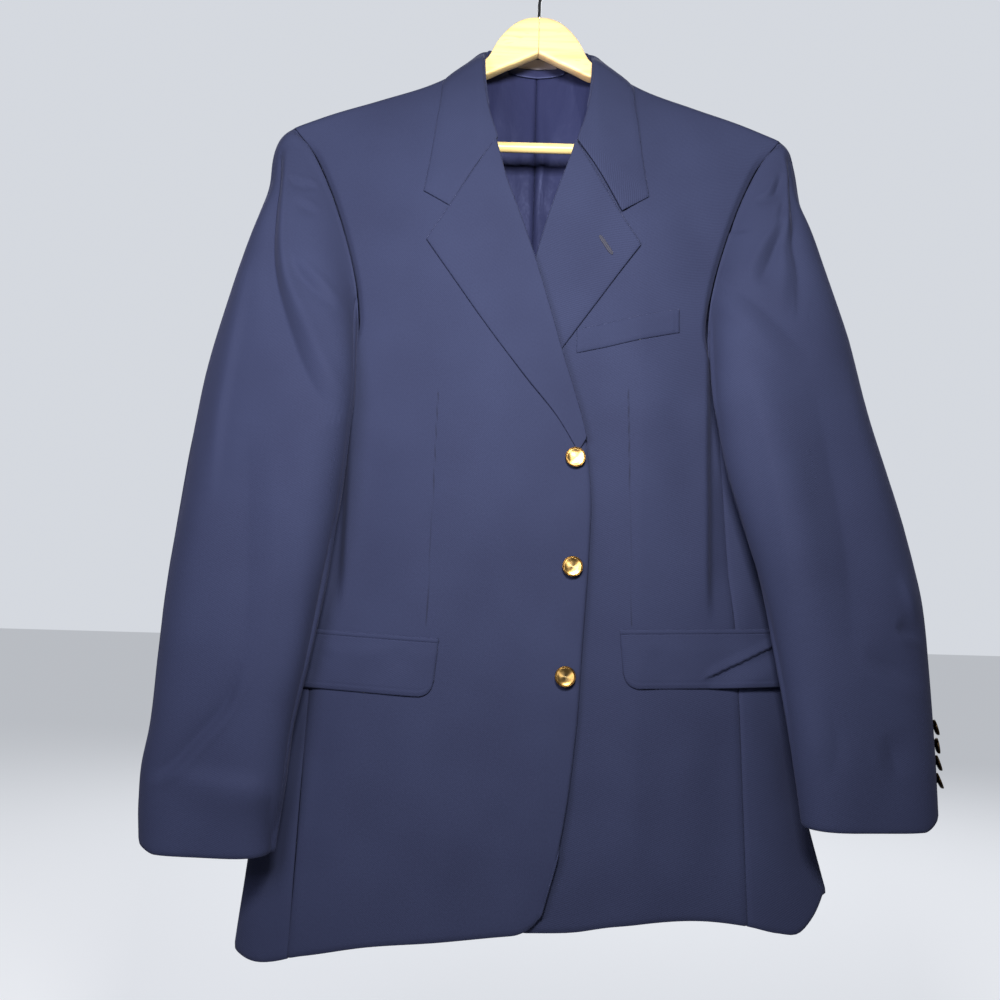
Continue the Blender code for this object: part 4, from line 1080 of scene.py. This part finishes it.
# The breast pocket's welt: a folded strip of wool on the left front, sewn down at both ends. It
# rises outwards and its inner end runs under the lapel.
WELT_X, WELT_Z, WELT_WIDTH, WELT_HEIGHT, WELT_SLOPE = 44.5, -473.0, 102.5, 24.0, 0.238
across, down = grid(70, 20)
x = WELT_X + WELT_WIDTH * across
z = WELT_Z + WELT_SLOPE * (x - WELT_X) + WELT_HEIGHT * (1 - down)
to_end = WELT_WIDTH * (1 - across)
edge = np.minimum(to_end, WELT_HEIGHT * np.minimum(down, 1 - down))
lift = 1.9 + 0.5 * np.sin(np.pi * across) * (1 - down) + pressed_edge(edge, 0.8, 4)
lift = lift - 0.5 * bell((to_end - 4) / 0.9) - 0.4 * (across < 0.02)
points = pushed(front_face(x, z, LEFT), lift)
piece = shell("wool_chest_welt", points, FLAP_WALL, wool)
placed(piece, ["chest_welt"])

# The back lining: two panels of navy satin joined by a centre seam, which hang from the neck and
# shoulders inside the back and end above the hem. Satin wrinkles in long slack folds.
LINING_HALF, LINING_SHORT, LINING_GAP, SATIN_WALL = 205.0, 24.0, 2.9, 0.5
LINING_FOLDS = {
    RIGHT: [
        (-18, -150, -30, -330, 9, 2.6, 3, 1.6),
        (-44, -160, -58, -300, 12, 2.2, -4, 1.4),
        (-24, -320, -16, -560, 10, 2.6, 4, 1.6),
        (-80, -300, -66, -620, 16, 2.6, 6, 1.4),
        (-120, -260, -130, -700, 20, 2.6, -6, 1.4),
        (-50, -600, -70, -960, 18, 2.2, 6, 1.2),
    ],
    LEFT: [
        (12, -146, 20, -262, 8, 2.8, -2, 2.0),
        (50, -142, 34, -228, 9, 2.6, 3, 1.8),
        (30, -196, 8, -330, 9, 2.8, 3, 2.0),
        (18, -270, 36, -430, 8, 2.4, -3, 1.6),
        (60, -240, 48, -420, 12, 2.4, 4, 1.6),
        (90, -300, 80, -640, 16, 2.6, -6, 1.4),
        (130, -260, 136, -700, 20, 2.6, 6, 1.4),
        (50, -600, 72, -940, 18, 2.2, -6, 1.2),
    ],
}
satin, satin_tree, satin_shader = finish_named(
    "navy satin lining", Base_Color=linear("2a2e4e"), Roughness=0.4, Specular_IOR_Level=0.3,
    Specular_Tint=linear("a8b4f0"), Sheen_Weight=0.2, Sheen_Roughness=0.3,
    Sheen_Tint=linear("8088c0"), Anisotropic=0.4)
spot = node(satin_tree, "TexCoord")
stretched = node(satin_tree, "Mapping", {"Scale": (1, 0.3, 1)},
                 {"Vector": spot.outputs["UV"]})
crumple = node(satin_tree, "TexNoise", {"Scale": 90.0, "Detail": 3.0, "Roughness": 0.55},
               {"Vector": stretched.outputs["Vector"]})
bumped(satin_tree, satin_shader, crumple.outputs["Fac"], 0.3, 0.004)


def lining(side):
    """Half the lining: ruled like the back, 2.9 mm or more inside it and short of it at the hem."""
    across, down = grid(58, 92, 1.2)

    def top_z(share):
        at_shoulder = ease((LINING_HALF * share - 50) / 30)
        return smooth(NECK_ROWS, LINING_HALF * share)[..., 0] - 3.0 - 24.0 * at_shoulder

    x, z = ruled(lambda h: side * CENTRE_GAP + 0 * h,
                 lambda h: side * (LINING_HALF - 6) + 0 * h, top_z,
                 lambda share: hem_height(side * LINING_HALF * share) + LINING_SHORT, across, down)
    waves = folds(LINING_FOLDS[side], x, z) + 0.6 * unevenness(x * 2.2, z, 1.9 * side)
    held = ease(down * 9) * ease(np.abs(x) / 9)
    depth = skin_depth(x, z, 1) - LINING_GAP - np.clip(1.6 + waves, 0.1, 6.0) * held
    depth += 1.0 * bell(x / 2.2) - 0.7 * bell((np.abs(x) - 4) / 2.5)
    points = np.stack([x, depth, z], -1)
    piece = shell("satin_lining_" + word(side), points[:, ::-1], SATIN_WALL, satin,
                  flip=side == LEFT)
    return placed(piece, ["back_lining_" + word(side)])


lining(RIGHT)
lining(LEFT)

# The locker loop and the label: a satin strip sewn across the back neck to hang the jacket by, and
# a bare woven label above it.
LOOP_HALF, LABEL_HALF, LABEL_HEIGHT = 31, 22, 12
across, down = grid(60, 9)
x = -LOOP_HALF + 2 * LOOP_HALF * across
z = -116 - 9 * down - 3.5 * np.sin(np.pi * across)
off = 1.0 * np.sin(np.pi * across) + 0.5 * np.sin(np.pi * down)
y = skin_depth(x, z, 1) - 5.0 - off
piece = shell("satin_locker_loop", np.stack([x, y, z], -1), 0.6, satin)
placed(piece, ["locker_loop"])

ribbon, ribbon_tree, ribbon_shader = finish_named("woven label ribbon", Roughness=0.6,
                                                  Base_Color=linear("8d8898"))
threads = node(ribbon_tree, "TexWave", {"Scale": 260.0, "Distortion": 1.0},
               {"Vector": node(ribbon_tree, "TexCoord").outputs["UV"]})
bumped(ribbon_tree, ribbon_shader, threads.outputs["Fac"], 0.4, 0.0002)
across, down = grid(40, 12)
x = -LABEL_HALF + 2 * LABEL_HALF * across
z = -103 - LABEL_HEIGHT * down
edge = np.minimum(LABEL_HALF - np.abs(x), LABEL_HEIGHT / 2 * (1 - np.abs(2 * down - 1)))
y = smooth(NECK_ROWS, np.abs(x))[..., 1] - 1.4 + pressed_edge(edge, -0.4, 1.5)
piece = shell("bare_neck_label", np.stack([x, y, z], -1), 0.5, ribbon)
placed(piece, ["neck_label"])

# The buttons: hollow stamped brass with a rolled rim, a spun face and a wire shank sewn to the
# cloth. Three stand on the right front's edge and four on each cuff.
FRONT_BUTTONS = [(44.0, -581.0), (43.0, -688.0), (38.0, -793.0)]
FRONT_BUTTON, CUFF_BUTTON = (20.0, 5.2, 90, 64), (15.0, 4.8, 50, 36)     # size, height, steps, sides
CUFF_FIRST, CUFF_PITCH = 41.0, 16.5                                      # up from the sleeve's end
CUFF_ANGLE = {RIGHT: -23.0, LEFT: 8.0}
CUFF_LEAN = {RIGHT: (0.17, 0.14, 0.05, 0.11), LEFT: (0.34, 0.28, 0.1, 0.22)}
SHANK, FACE_SHARE = 0.16, 0.64           # of the radius, of the profile
BUTTON_PROFILE = [
    # share of the radius, height below the top rim as a share of the radius
    (0.0, -0.13), (0.3, -0.125), (0.55, -0.11), (0.74, -0.075), (0.82, -0.06), (0.855, -0.075),
    (0.875, -0.045), (0.91, -0.005), (0.95, 0.0), (0.985, -0.03), (1.0, -0.09), (0.985, -0.15),
    (0.95, -0.24), (0.86, -0.34), (0.66, -0.42), (0.4, -0.46), (0.24, -0.48),
]
brass, brass_tree, brass_shader = finish_named("spun brass", Metallic=1.0, Roughness=0.36,
                                               Anisotropic=0.75)
spin = node(brass_tree, "Attribute", attribute_name="spin")
radius_mark = node(brass_tree, "Attribute", attribute_name="radius")
rings = node(brass_tree, "Math", {1: 62.0}, {0: radius_mark.outputs["Fac"]},
             operation="MULTIPLY")
turned_lines = node(brass_tree, "Math", {}, {0: rings.outputs[0]}, operation="SINE")
bumped(brass_tree, brass_shader, turned_lines.outputs[0], 0.12, 0.0001)
half_mark = node(brass_tree, "Math", {1: 0.5}, {0: radius_mark.outputs["Fac"]},
                 operation="MULTIPLY")
# Painted light on the brass: over the radius mark the colour is brass at the face's middle, a painted
# highlight ring at 0.8 of the radius, darker in the groove and at the rim's edge, and painted shade
# all over the back, which faces away from the lamps.
brass_tone_and_painted_light = ramp(brass_tree, half_mark.outputs[0],
               [(0, "7c6e50"), (1, "1f1a14"), (0.8 / 2, "d2aa66"), (0.87 / 2, "4a361b"),
                (0.93 / 2, "8c6a38"), (1.0 / 2, "2c2317")])
brass_tree.links.new(brass_tone_and_painted_light, brass_shader.inputs["Base Color"])
brass_tree.links.new(spin.outputs["Vector"], brass_shader.inputs["Tangent"])


def loft(name, rings, finish, marks=None, vectors=None):
    """A closed skin over rings of points. They follow one another along the piece, turn the right
    way round that direction, and each end is closed by a fan to its middle."""
    count, around = rings.shape[:2]
    index = np.arange(count * around).reshape(count, around)
    after = np.roll(index, -1, 1)
    quads = np.stack([index[:-1], after[:-1], after[1:], index[1:]], -1).reshape(-1, 4)
    ends = [(np.roll(index[0], -1), index[0], count * around),
            (index[-1], np.roll(index[-1], -1), count * around + 1)]
    fans = [np.stack([one, two, np.full(around, tip)], -1) for one, two, tip in ends]
    points = np.concatenate([rings.reshape(-1, 3), rings[0].mean(0)[None], rings[-1].mean(0)[None]])
    run = np.linalg.norm(np.diff(rings.mean(1), axis=0), axis=1)
    run = np.concatenate([[0], np.cumsum(run)])
    turn = np.arange(around + 1) * np.linalg.norm(rings[0, 1] - rings[0, 0])
    u = np.stack([turn[:-1], turn[1:], turn[1:], turn[:-1]], -1)
    u = np.tile(u, (count - 1, 1))
    v = np.repeat(np.stack([run[:-1], run[:-1], run[1:], run[1:]], -1), around, 0)
    uv = np.concatenate([np.stack([u, v], -1).reshape(-1, 2), np.zeros((6 * around, 2))])
    marks = {mark: np.append(values, [values.flat[0], values.flat[-1]])
             for mark, values in (marks or {}).items()}
    faces = quads.tolist() + np.concatenate(fans).tolist()
    piece = new_piece(name, points, faces, uv, finish, marks)
    for mark, values in (vectors or {}).items():
        whole = np.concatenate([values.reshape(-1, 3), [[1, 0, 0], [1, 0, 0]]])
        layer = piece.data.attributes.new(mark, "FLOAT_VECTOR", "POINT")
        layer.data.foreach_set("vector", whole.ravel())
    return piece


def button(name, node_name, seat, facing, diameter, height, steps, sides):
    """A button turned about its facing direction: the profile read in steps, then a shank."""
    facing = unit(np.array(facing, float))
    right = unit(np.cross(facing, [0.0, 0.0, 1.0]))
    up = np.cross(right, facing)
    r = diameter / 2
    share = np.array(BUTTON_PROFILE)
    share = np.column_stack([np.arange(len(share)), share])
    fine = smooth(share, np.linspace(0, len(share) - 1, steps))
    profile = np.column_stack([fine[:, 0] * r, height + fine[:, 1] * r])
    shank = [[SHANK * r, profile[-1, 1] - 0.1], [SHANK * r, 0.15]]
    profile = np.concatenate([profile, shank])[::-1]
    turn = np.linspace(0, 2 * np.pi, sides, endpoint=False)
    side_on = np.cos(turn)[:, None] * right + np.sin(turn)[:, None] * up
    rings = seat + profile[:, :1, None] * side_on[None] + profile[:, 1:, None] * facing
    around = -np.sin(turn)[:, None] * right + np.cos(turn)[:, None] * up
    around = np.broadcast_to(around[None], rings.shape)
    behind = np.arange(len(profile))[:, None] < len(profile) - 1 - FACE_SHARE * steps
    mark = np.where(behind, 2 - profile[:, :1] / r, profile[:, :1] / r)
    radius = np.broadcast_to(mark, rings.shape[:2])
    piece = loft(name, rings[:, ::-1], brass, {"radius": radius}, {"spin": around})
    return placed(piece, [node_name])


for number, (x, z) in enumerate(FRONT_BUTTONS, 1):
    y = float(front_face(np.array(x), np.array(z), RIGHT)[1])
    button("brass_front_button_%d" % number, "button_%d" % number, np.array([x, y + 0.2, z]),
           (0.02, -1, 0.06), *FRONT_BUTTON)

for side in (RIGHT, LEFT):
    top, bottom = SLEEVE_ROWS[side][0][0], SLEEVE_ROWS[side][-1][0]
    for number, lean in enumerate(CUFF_LEAN[side]):
        low = (bottom + CUFF_FIRST + CUFF_PITCH * number - top) / (bottom - top) + 1
        at = CUFF_ANGLE[side]
        angle, down = np.meshgrid([at - 4, at, at + 4], [low - 0.02, low, low + 0.02])
        patch = sleeve_skin(angle, down, side)
        patch[..., 0] *= side
        facing = normals(patch, side == LEFT)[1, 1]
        node_name = "cuff_button_%s_%d" % (word(side), number + 1)
        button("brass_" + node_name, node_name, patch[1, 1] + facing * 1.2,
               facing + np.array([0, 0, lean]), *CUFF_BUTTON)

# The hanger: two contoured arms of pale lacquered beech, glued at a mitre under the hook, and a
# round dowel between their ends. The right-hand arm is cut from slightly pinker wood.
ARM_END, ARM_BOW, ARM_SQUARE = 224, 16.0, 0.3        # the arms bow forward and are nearly square
BAR_HALF, BAR_Z, BAR_DIAMETER = 183, -234.0, 11.0
HANGER_ROWS = [
    # x, top z, bottom z, thickness
    (0, -78, -121, 14),
    (12, -79.2, -127, 14),
    (24, -84.4, -133, 14),
    (34, -93, -137.4, 14),
    (45, -107.5, -143, 14),
    (55, -127, -148, 14),
    (62, -133.5, -150, 14),
    (80, -146.4, -161, 14),
    (106, -162.4, -178, 14),
    (169, -189.4, -208, 14),
    (192, -203, -236, 14),
    (212, -209.4, -243, 13),
    (224, -222, -236, 11),
]


def wood(name, pale, dark):
    """Lacquered beech: long fine grain along X, a few slow darker figures and short dark flecks."""
    made, tree, shader = finish_named(name, Roughness=0.42, Coat_Weight=0.25, Coat_Roughness=0.3)
    spot = node(tree, "TexCoord")
    long_way = node(tree, "Mapping", {"Scale": (9, 60, 160)},
                    {"Vector": spot.outputs["Object"]})
    grain = node(tree, "TexNoise", {"Scale": 1.0, "Detail": 6.0, "Roughness": 0.55},
                 {"Vector": long_way.outputs["Vector"]})
    fleck_way = node(tree, "Mapping", {"Scale": (70, 300, 420)},
                     {"Vector": spot.outputs["Object"]})
    fleck = node(tree, "TexNoise", {"Scale": 1.0, "Detail": 2.0},
                 {"Vector": fleck_way.outputs["Vector"]})
    tone = ramp(tree, grain.outputs["Fac"], [(0.34, dark), (0.62, pale)])
    thin = node(tree, "MapRange", {"From Min": 0.64, "From Max": 0.74, "To Min": 0.0,
                                             "To Max": 0.35}, {"Value": fleck.outputs["Fac"]})
    flecked = node(tree, "Mix", {7: linear("b98a4c")},
                   {0: thin.outputs["Result"], 6: tone}, data_type="RGBA")
    tree.links.new(flecked.outputs[2], shader.inputs["Base Color"])
    bumped(tree, shader, grain.outputs["Fac"], 0.15, 0.0004)
    return made


beech = wood("lacquered beech", "f4dd9e", "e9c884")
pink_beech = wood("lacquered beech, pinker", "f3d29c", "e8bd82")

for side, finish in ((RIGHT, beech), (LEFT, pink_beech)):
    stations = np.concatenate([np.linspace(0.15, 70, 60), np.linspace(71.5, 222.5, 90),
                               [223.2, 223.7, 224.0]])
    top, bottom, thick = np.moveaxis(smooth(HANGER_ROWS, stations), -1, 0)
    closing = np.sqrt(bounded(1 - bounded((stations - 220) / 4.2) ** 2))
    turn = np.linspace(0, 2 * np.pi, 40, endpoint=False)
    squared = np.sign(np.cos(turn)) * np.abs(np.cos(turn)) ** ARM_SQUARE
    upright = np.sign(np.sin(turn)) * np.abs(np.sin(turn)) ** ARM_SQUARE
    middle = (top + bottom) / 2
    half = (top - bottom) / 2 * closing
    bow = -ARM_BOW * (stations / ARM_END) ** 2
    y = bow[:, None] - side * (thick / 2 * closing)[:, None] * squared
    z = middle[:, None] + half[:, None] * upright
    x = side * stations[:, None] + 0 * z
    piece = loft("hanger_arm_of_beech_" + word(side), np.stack([x, y, z], -1), finish)
    placed(piece, ["hanger_arm_" + word(side)])


def tube(name, path, diameter, finish, around=24):
    """A round bar along a path, with its ends rounded over: each ring lies across the path."""
    path = np.array(path, float)
    forward = unit(np.gradient(path, axis=0))
    across = unit(np.cross([0.0, 1.0, 0.0], forward))
    third = np.cross(forward, across)
    run = np.concatenate([[0], np.cumsum(np.linalg.norm(np.diff(path, axis=0), axis=1))])
    left = np.minimum(run, run[-1] - run)
    soft = diameter * 0.3
    inset = soft * (1 - np.sqrt(bounded(1 - bounded(1 - left / soft) ** 2)))
    r = (diameter / 2 - inset)[:, None, None]
    turn = np.linspace(0, 2 * np.pi, around, endpoint=False)[None, :, None]
    return loft(name, path[:, None] + r * (np.cos(turn) * across[:, None]
                                           + np.sin(turn) * third[:, None]), finish)


soft_end = np.linspace(0, 3.3, 7)
reach = np.concatenate([-BAR_HALF + soft_end[:-1], np.linspace(-179.7, 179.7, 40),
                        BAR_HALF - soft_end[::-1][1:]])
bar_y = -ARM_BOW * (BAR_HALF / ARM_END) ** 2
piece = tube("beech_trouser_bar", [(x, bar_y, BAR_Z) for x in reach], BAR_DIAMETER, beech, 32)
placed(piece, ["trouser_bar"])

# The hook: plated steel wire that screws into the wood at the mitre, leans to one side and bends
# round over the rail.
chrome = finish_named("bright plated steel wire", Metallic=1.0, Roughness=0.13,
                      Base_Color=linear("c9cacd"))[0]
HOOK_INSIDE, WIRE = 19.0, 3.6
bend_radius = HOOK_INSIDE + WIRE / 2
leave = np.radians(-58.0)
turns = np.linspace(leave, np.radians(205.0), 90)
arc_z = -HOOK_INSIDE + bend_radius * np.sin(turns)
arc = np.stack([bend_radius * np.cos(turns), 0 * turns, arc_z], -1)
t = np.linspace(0, 1, 30)[:, None]
start, leaving = np.array([0.0, 0.0, -60.0]), np.array([-np.sin(leave), 0.0, np.cos(leave)])
pull = 22.0
lead = cubic(t, start, pull * np.array([0.0, 0.0, 1.0]), arc[0], pull * leaving)
stem = np.stack([np.zeros(8), np.zeros(8), np.linspace(-77.9, -61.5, 8)], -1)
piece = tube("steel_wire_hook", np.concatenate([stem, lead, arc[1:]]), WIRE, chrome)
placed(piece, ["hook"])

# The stage: a paper floor under the hanging jacket, which glows only where the camera sees it, a
# pale surround, two soft lamps in front of the chest and a strong one high behind. In metres.
FLOOR_HALF, FLOOR_Z = 30, -1.30
floor_mesh = bpy.data.meshes.new("studio_floor")
floor_mesh.from_pydata([(x * FLOOR_HALF, y * FLOOR_HALF, FLOOR_Z)
                        for x, y in ((-1, -1), (1, -1), (1, 1), (-1, 1))], [], [(0, 1, 2, 3)])
paper, paper_tree, paper_shader = finish_named("pale studio paper", Roughness=1.0,
                                               Base_Color=linear("b4b5b8"), Specular_IOR_Level=0.0,
                                               Emission_Color=linear("dfe3ea"))
paper_seen = node(paper_tree, "LightPath")
paper_glow = node(paper_tree, "Math", {1: 0.62},
                  {0: paper_seen.outputs["Is Camera Ray"]}, operation="MULTIPLY")
paper_tree.links.new(paper_glow.outputs[0], paper_shader.inputs["Emission Strength"])
floor_mesh.materials.append(paper)
floor = bpy.data.objects.new("studio_floor", floor_mesh)
bpy.context.scene.collection.objects.link(floor)
floor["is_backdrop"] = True

world = bpy.data.worlds.new("soft surround")
world.use_nodes = True
seen = node(world.node_tree, "LightPath")
glow = node(world.node_tree, "MapRange", {"To Min": 0.08, "To Max": 0.9},
            {"Value": seen.outputs["Is Camera Ray"]})
background = world.node_tree.nodes["Background"]
background.inputs["Color"].default_value = linear("dfe3ea")
world.node_tree.links.new(glow.outputs["Result"], background.inputs["Strength"])
bpy.context.scene.world = world


def lamp(name, place, target, size, power, colour):
    """A square soft lamp at a place in metres, turned to a target."""
    light = bpy.data.lights.new(name, "AREA")
    light.size = size
    light.energy = power
    light.color = linear(colour)[:3]
    made = bpy.data.objects.new(name, light)
    away = unit(np.array(place, float) - np.array(target, float))
    right = unit(np.cross([0.0, 0.0, 1.0], away))
    made.matrix_world = matrix_of(right, np.cross(away, right), away, place)
    bpy.context.scene.collection.objects.link(made)
    made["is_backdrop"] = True


def matrix_of(right, up, back, place):
    """The 4 x 4 matrix of an object whose axes point right, up and back."""
    return Matrix([[*row, at] for row, at in zip(np.stack([right, up, back], 1).tolist(), place)]
                  + [[0, 0, 0, 1]])


lamp("key", (0.0, -0.80, -0.27), (0, 0, -0.45), 0.2, 12.6, "fffaf2")
lamp("fill", (-0.50, -0.85, -0.45), (-0.1, 0, -0.5), 0.4, 5, "fbf8ff")
lamp("back light", (0.3, 2.0, 1.0), (0, 0, -0.5), 1.6, 56, "ffffff")

# The camera: stands below the chest at about a metre, tilted up a little and rolled slightly, with
# a lens for a 36 mm wide sensor.
tilt, roll = np.radians(7.22), np.radians(1.6)
plain_right = np.array([1.0, 0.0, 0.0])
plain_up = np.array([0.0, -np.sin(tilt), np.cos(tilt)])
ahead = np.array([0.0, np.cos(tilt), np.sin(tilt)])
lens = bpy.data.cameras.new("camera")
lens.lens, lens.sensor_width = 35.316, 36.0
camera = bpy.data.objects.new("camera", lens)
camera.matrix_world = matrix_of(np.cos(roll) * plain_right + np.sin(roll) * plain_up,
                                -np.sin(roll) * plain_right + np.cos(roll) * plain_up, -ahead,
                                (-0.0286, -1.014, -0.7451))
bpy.context.scene.collection.objects.link(camera)
bpy.context.scene.camera = camera
bpy.context.scene.view_settings.view_transform = "Standard"

low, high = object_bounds()
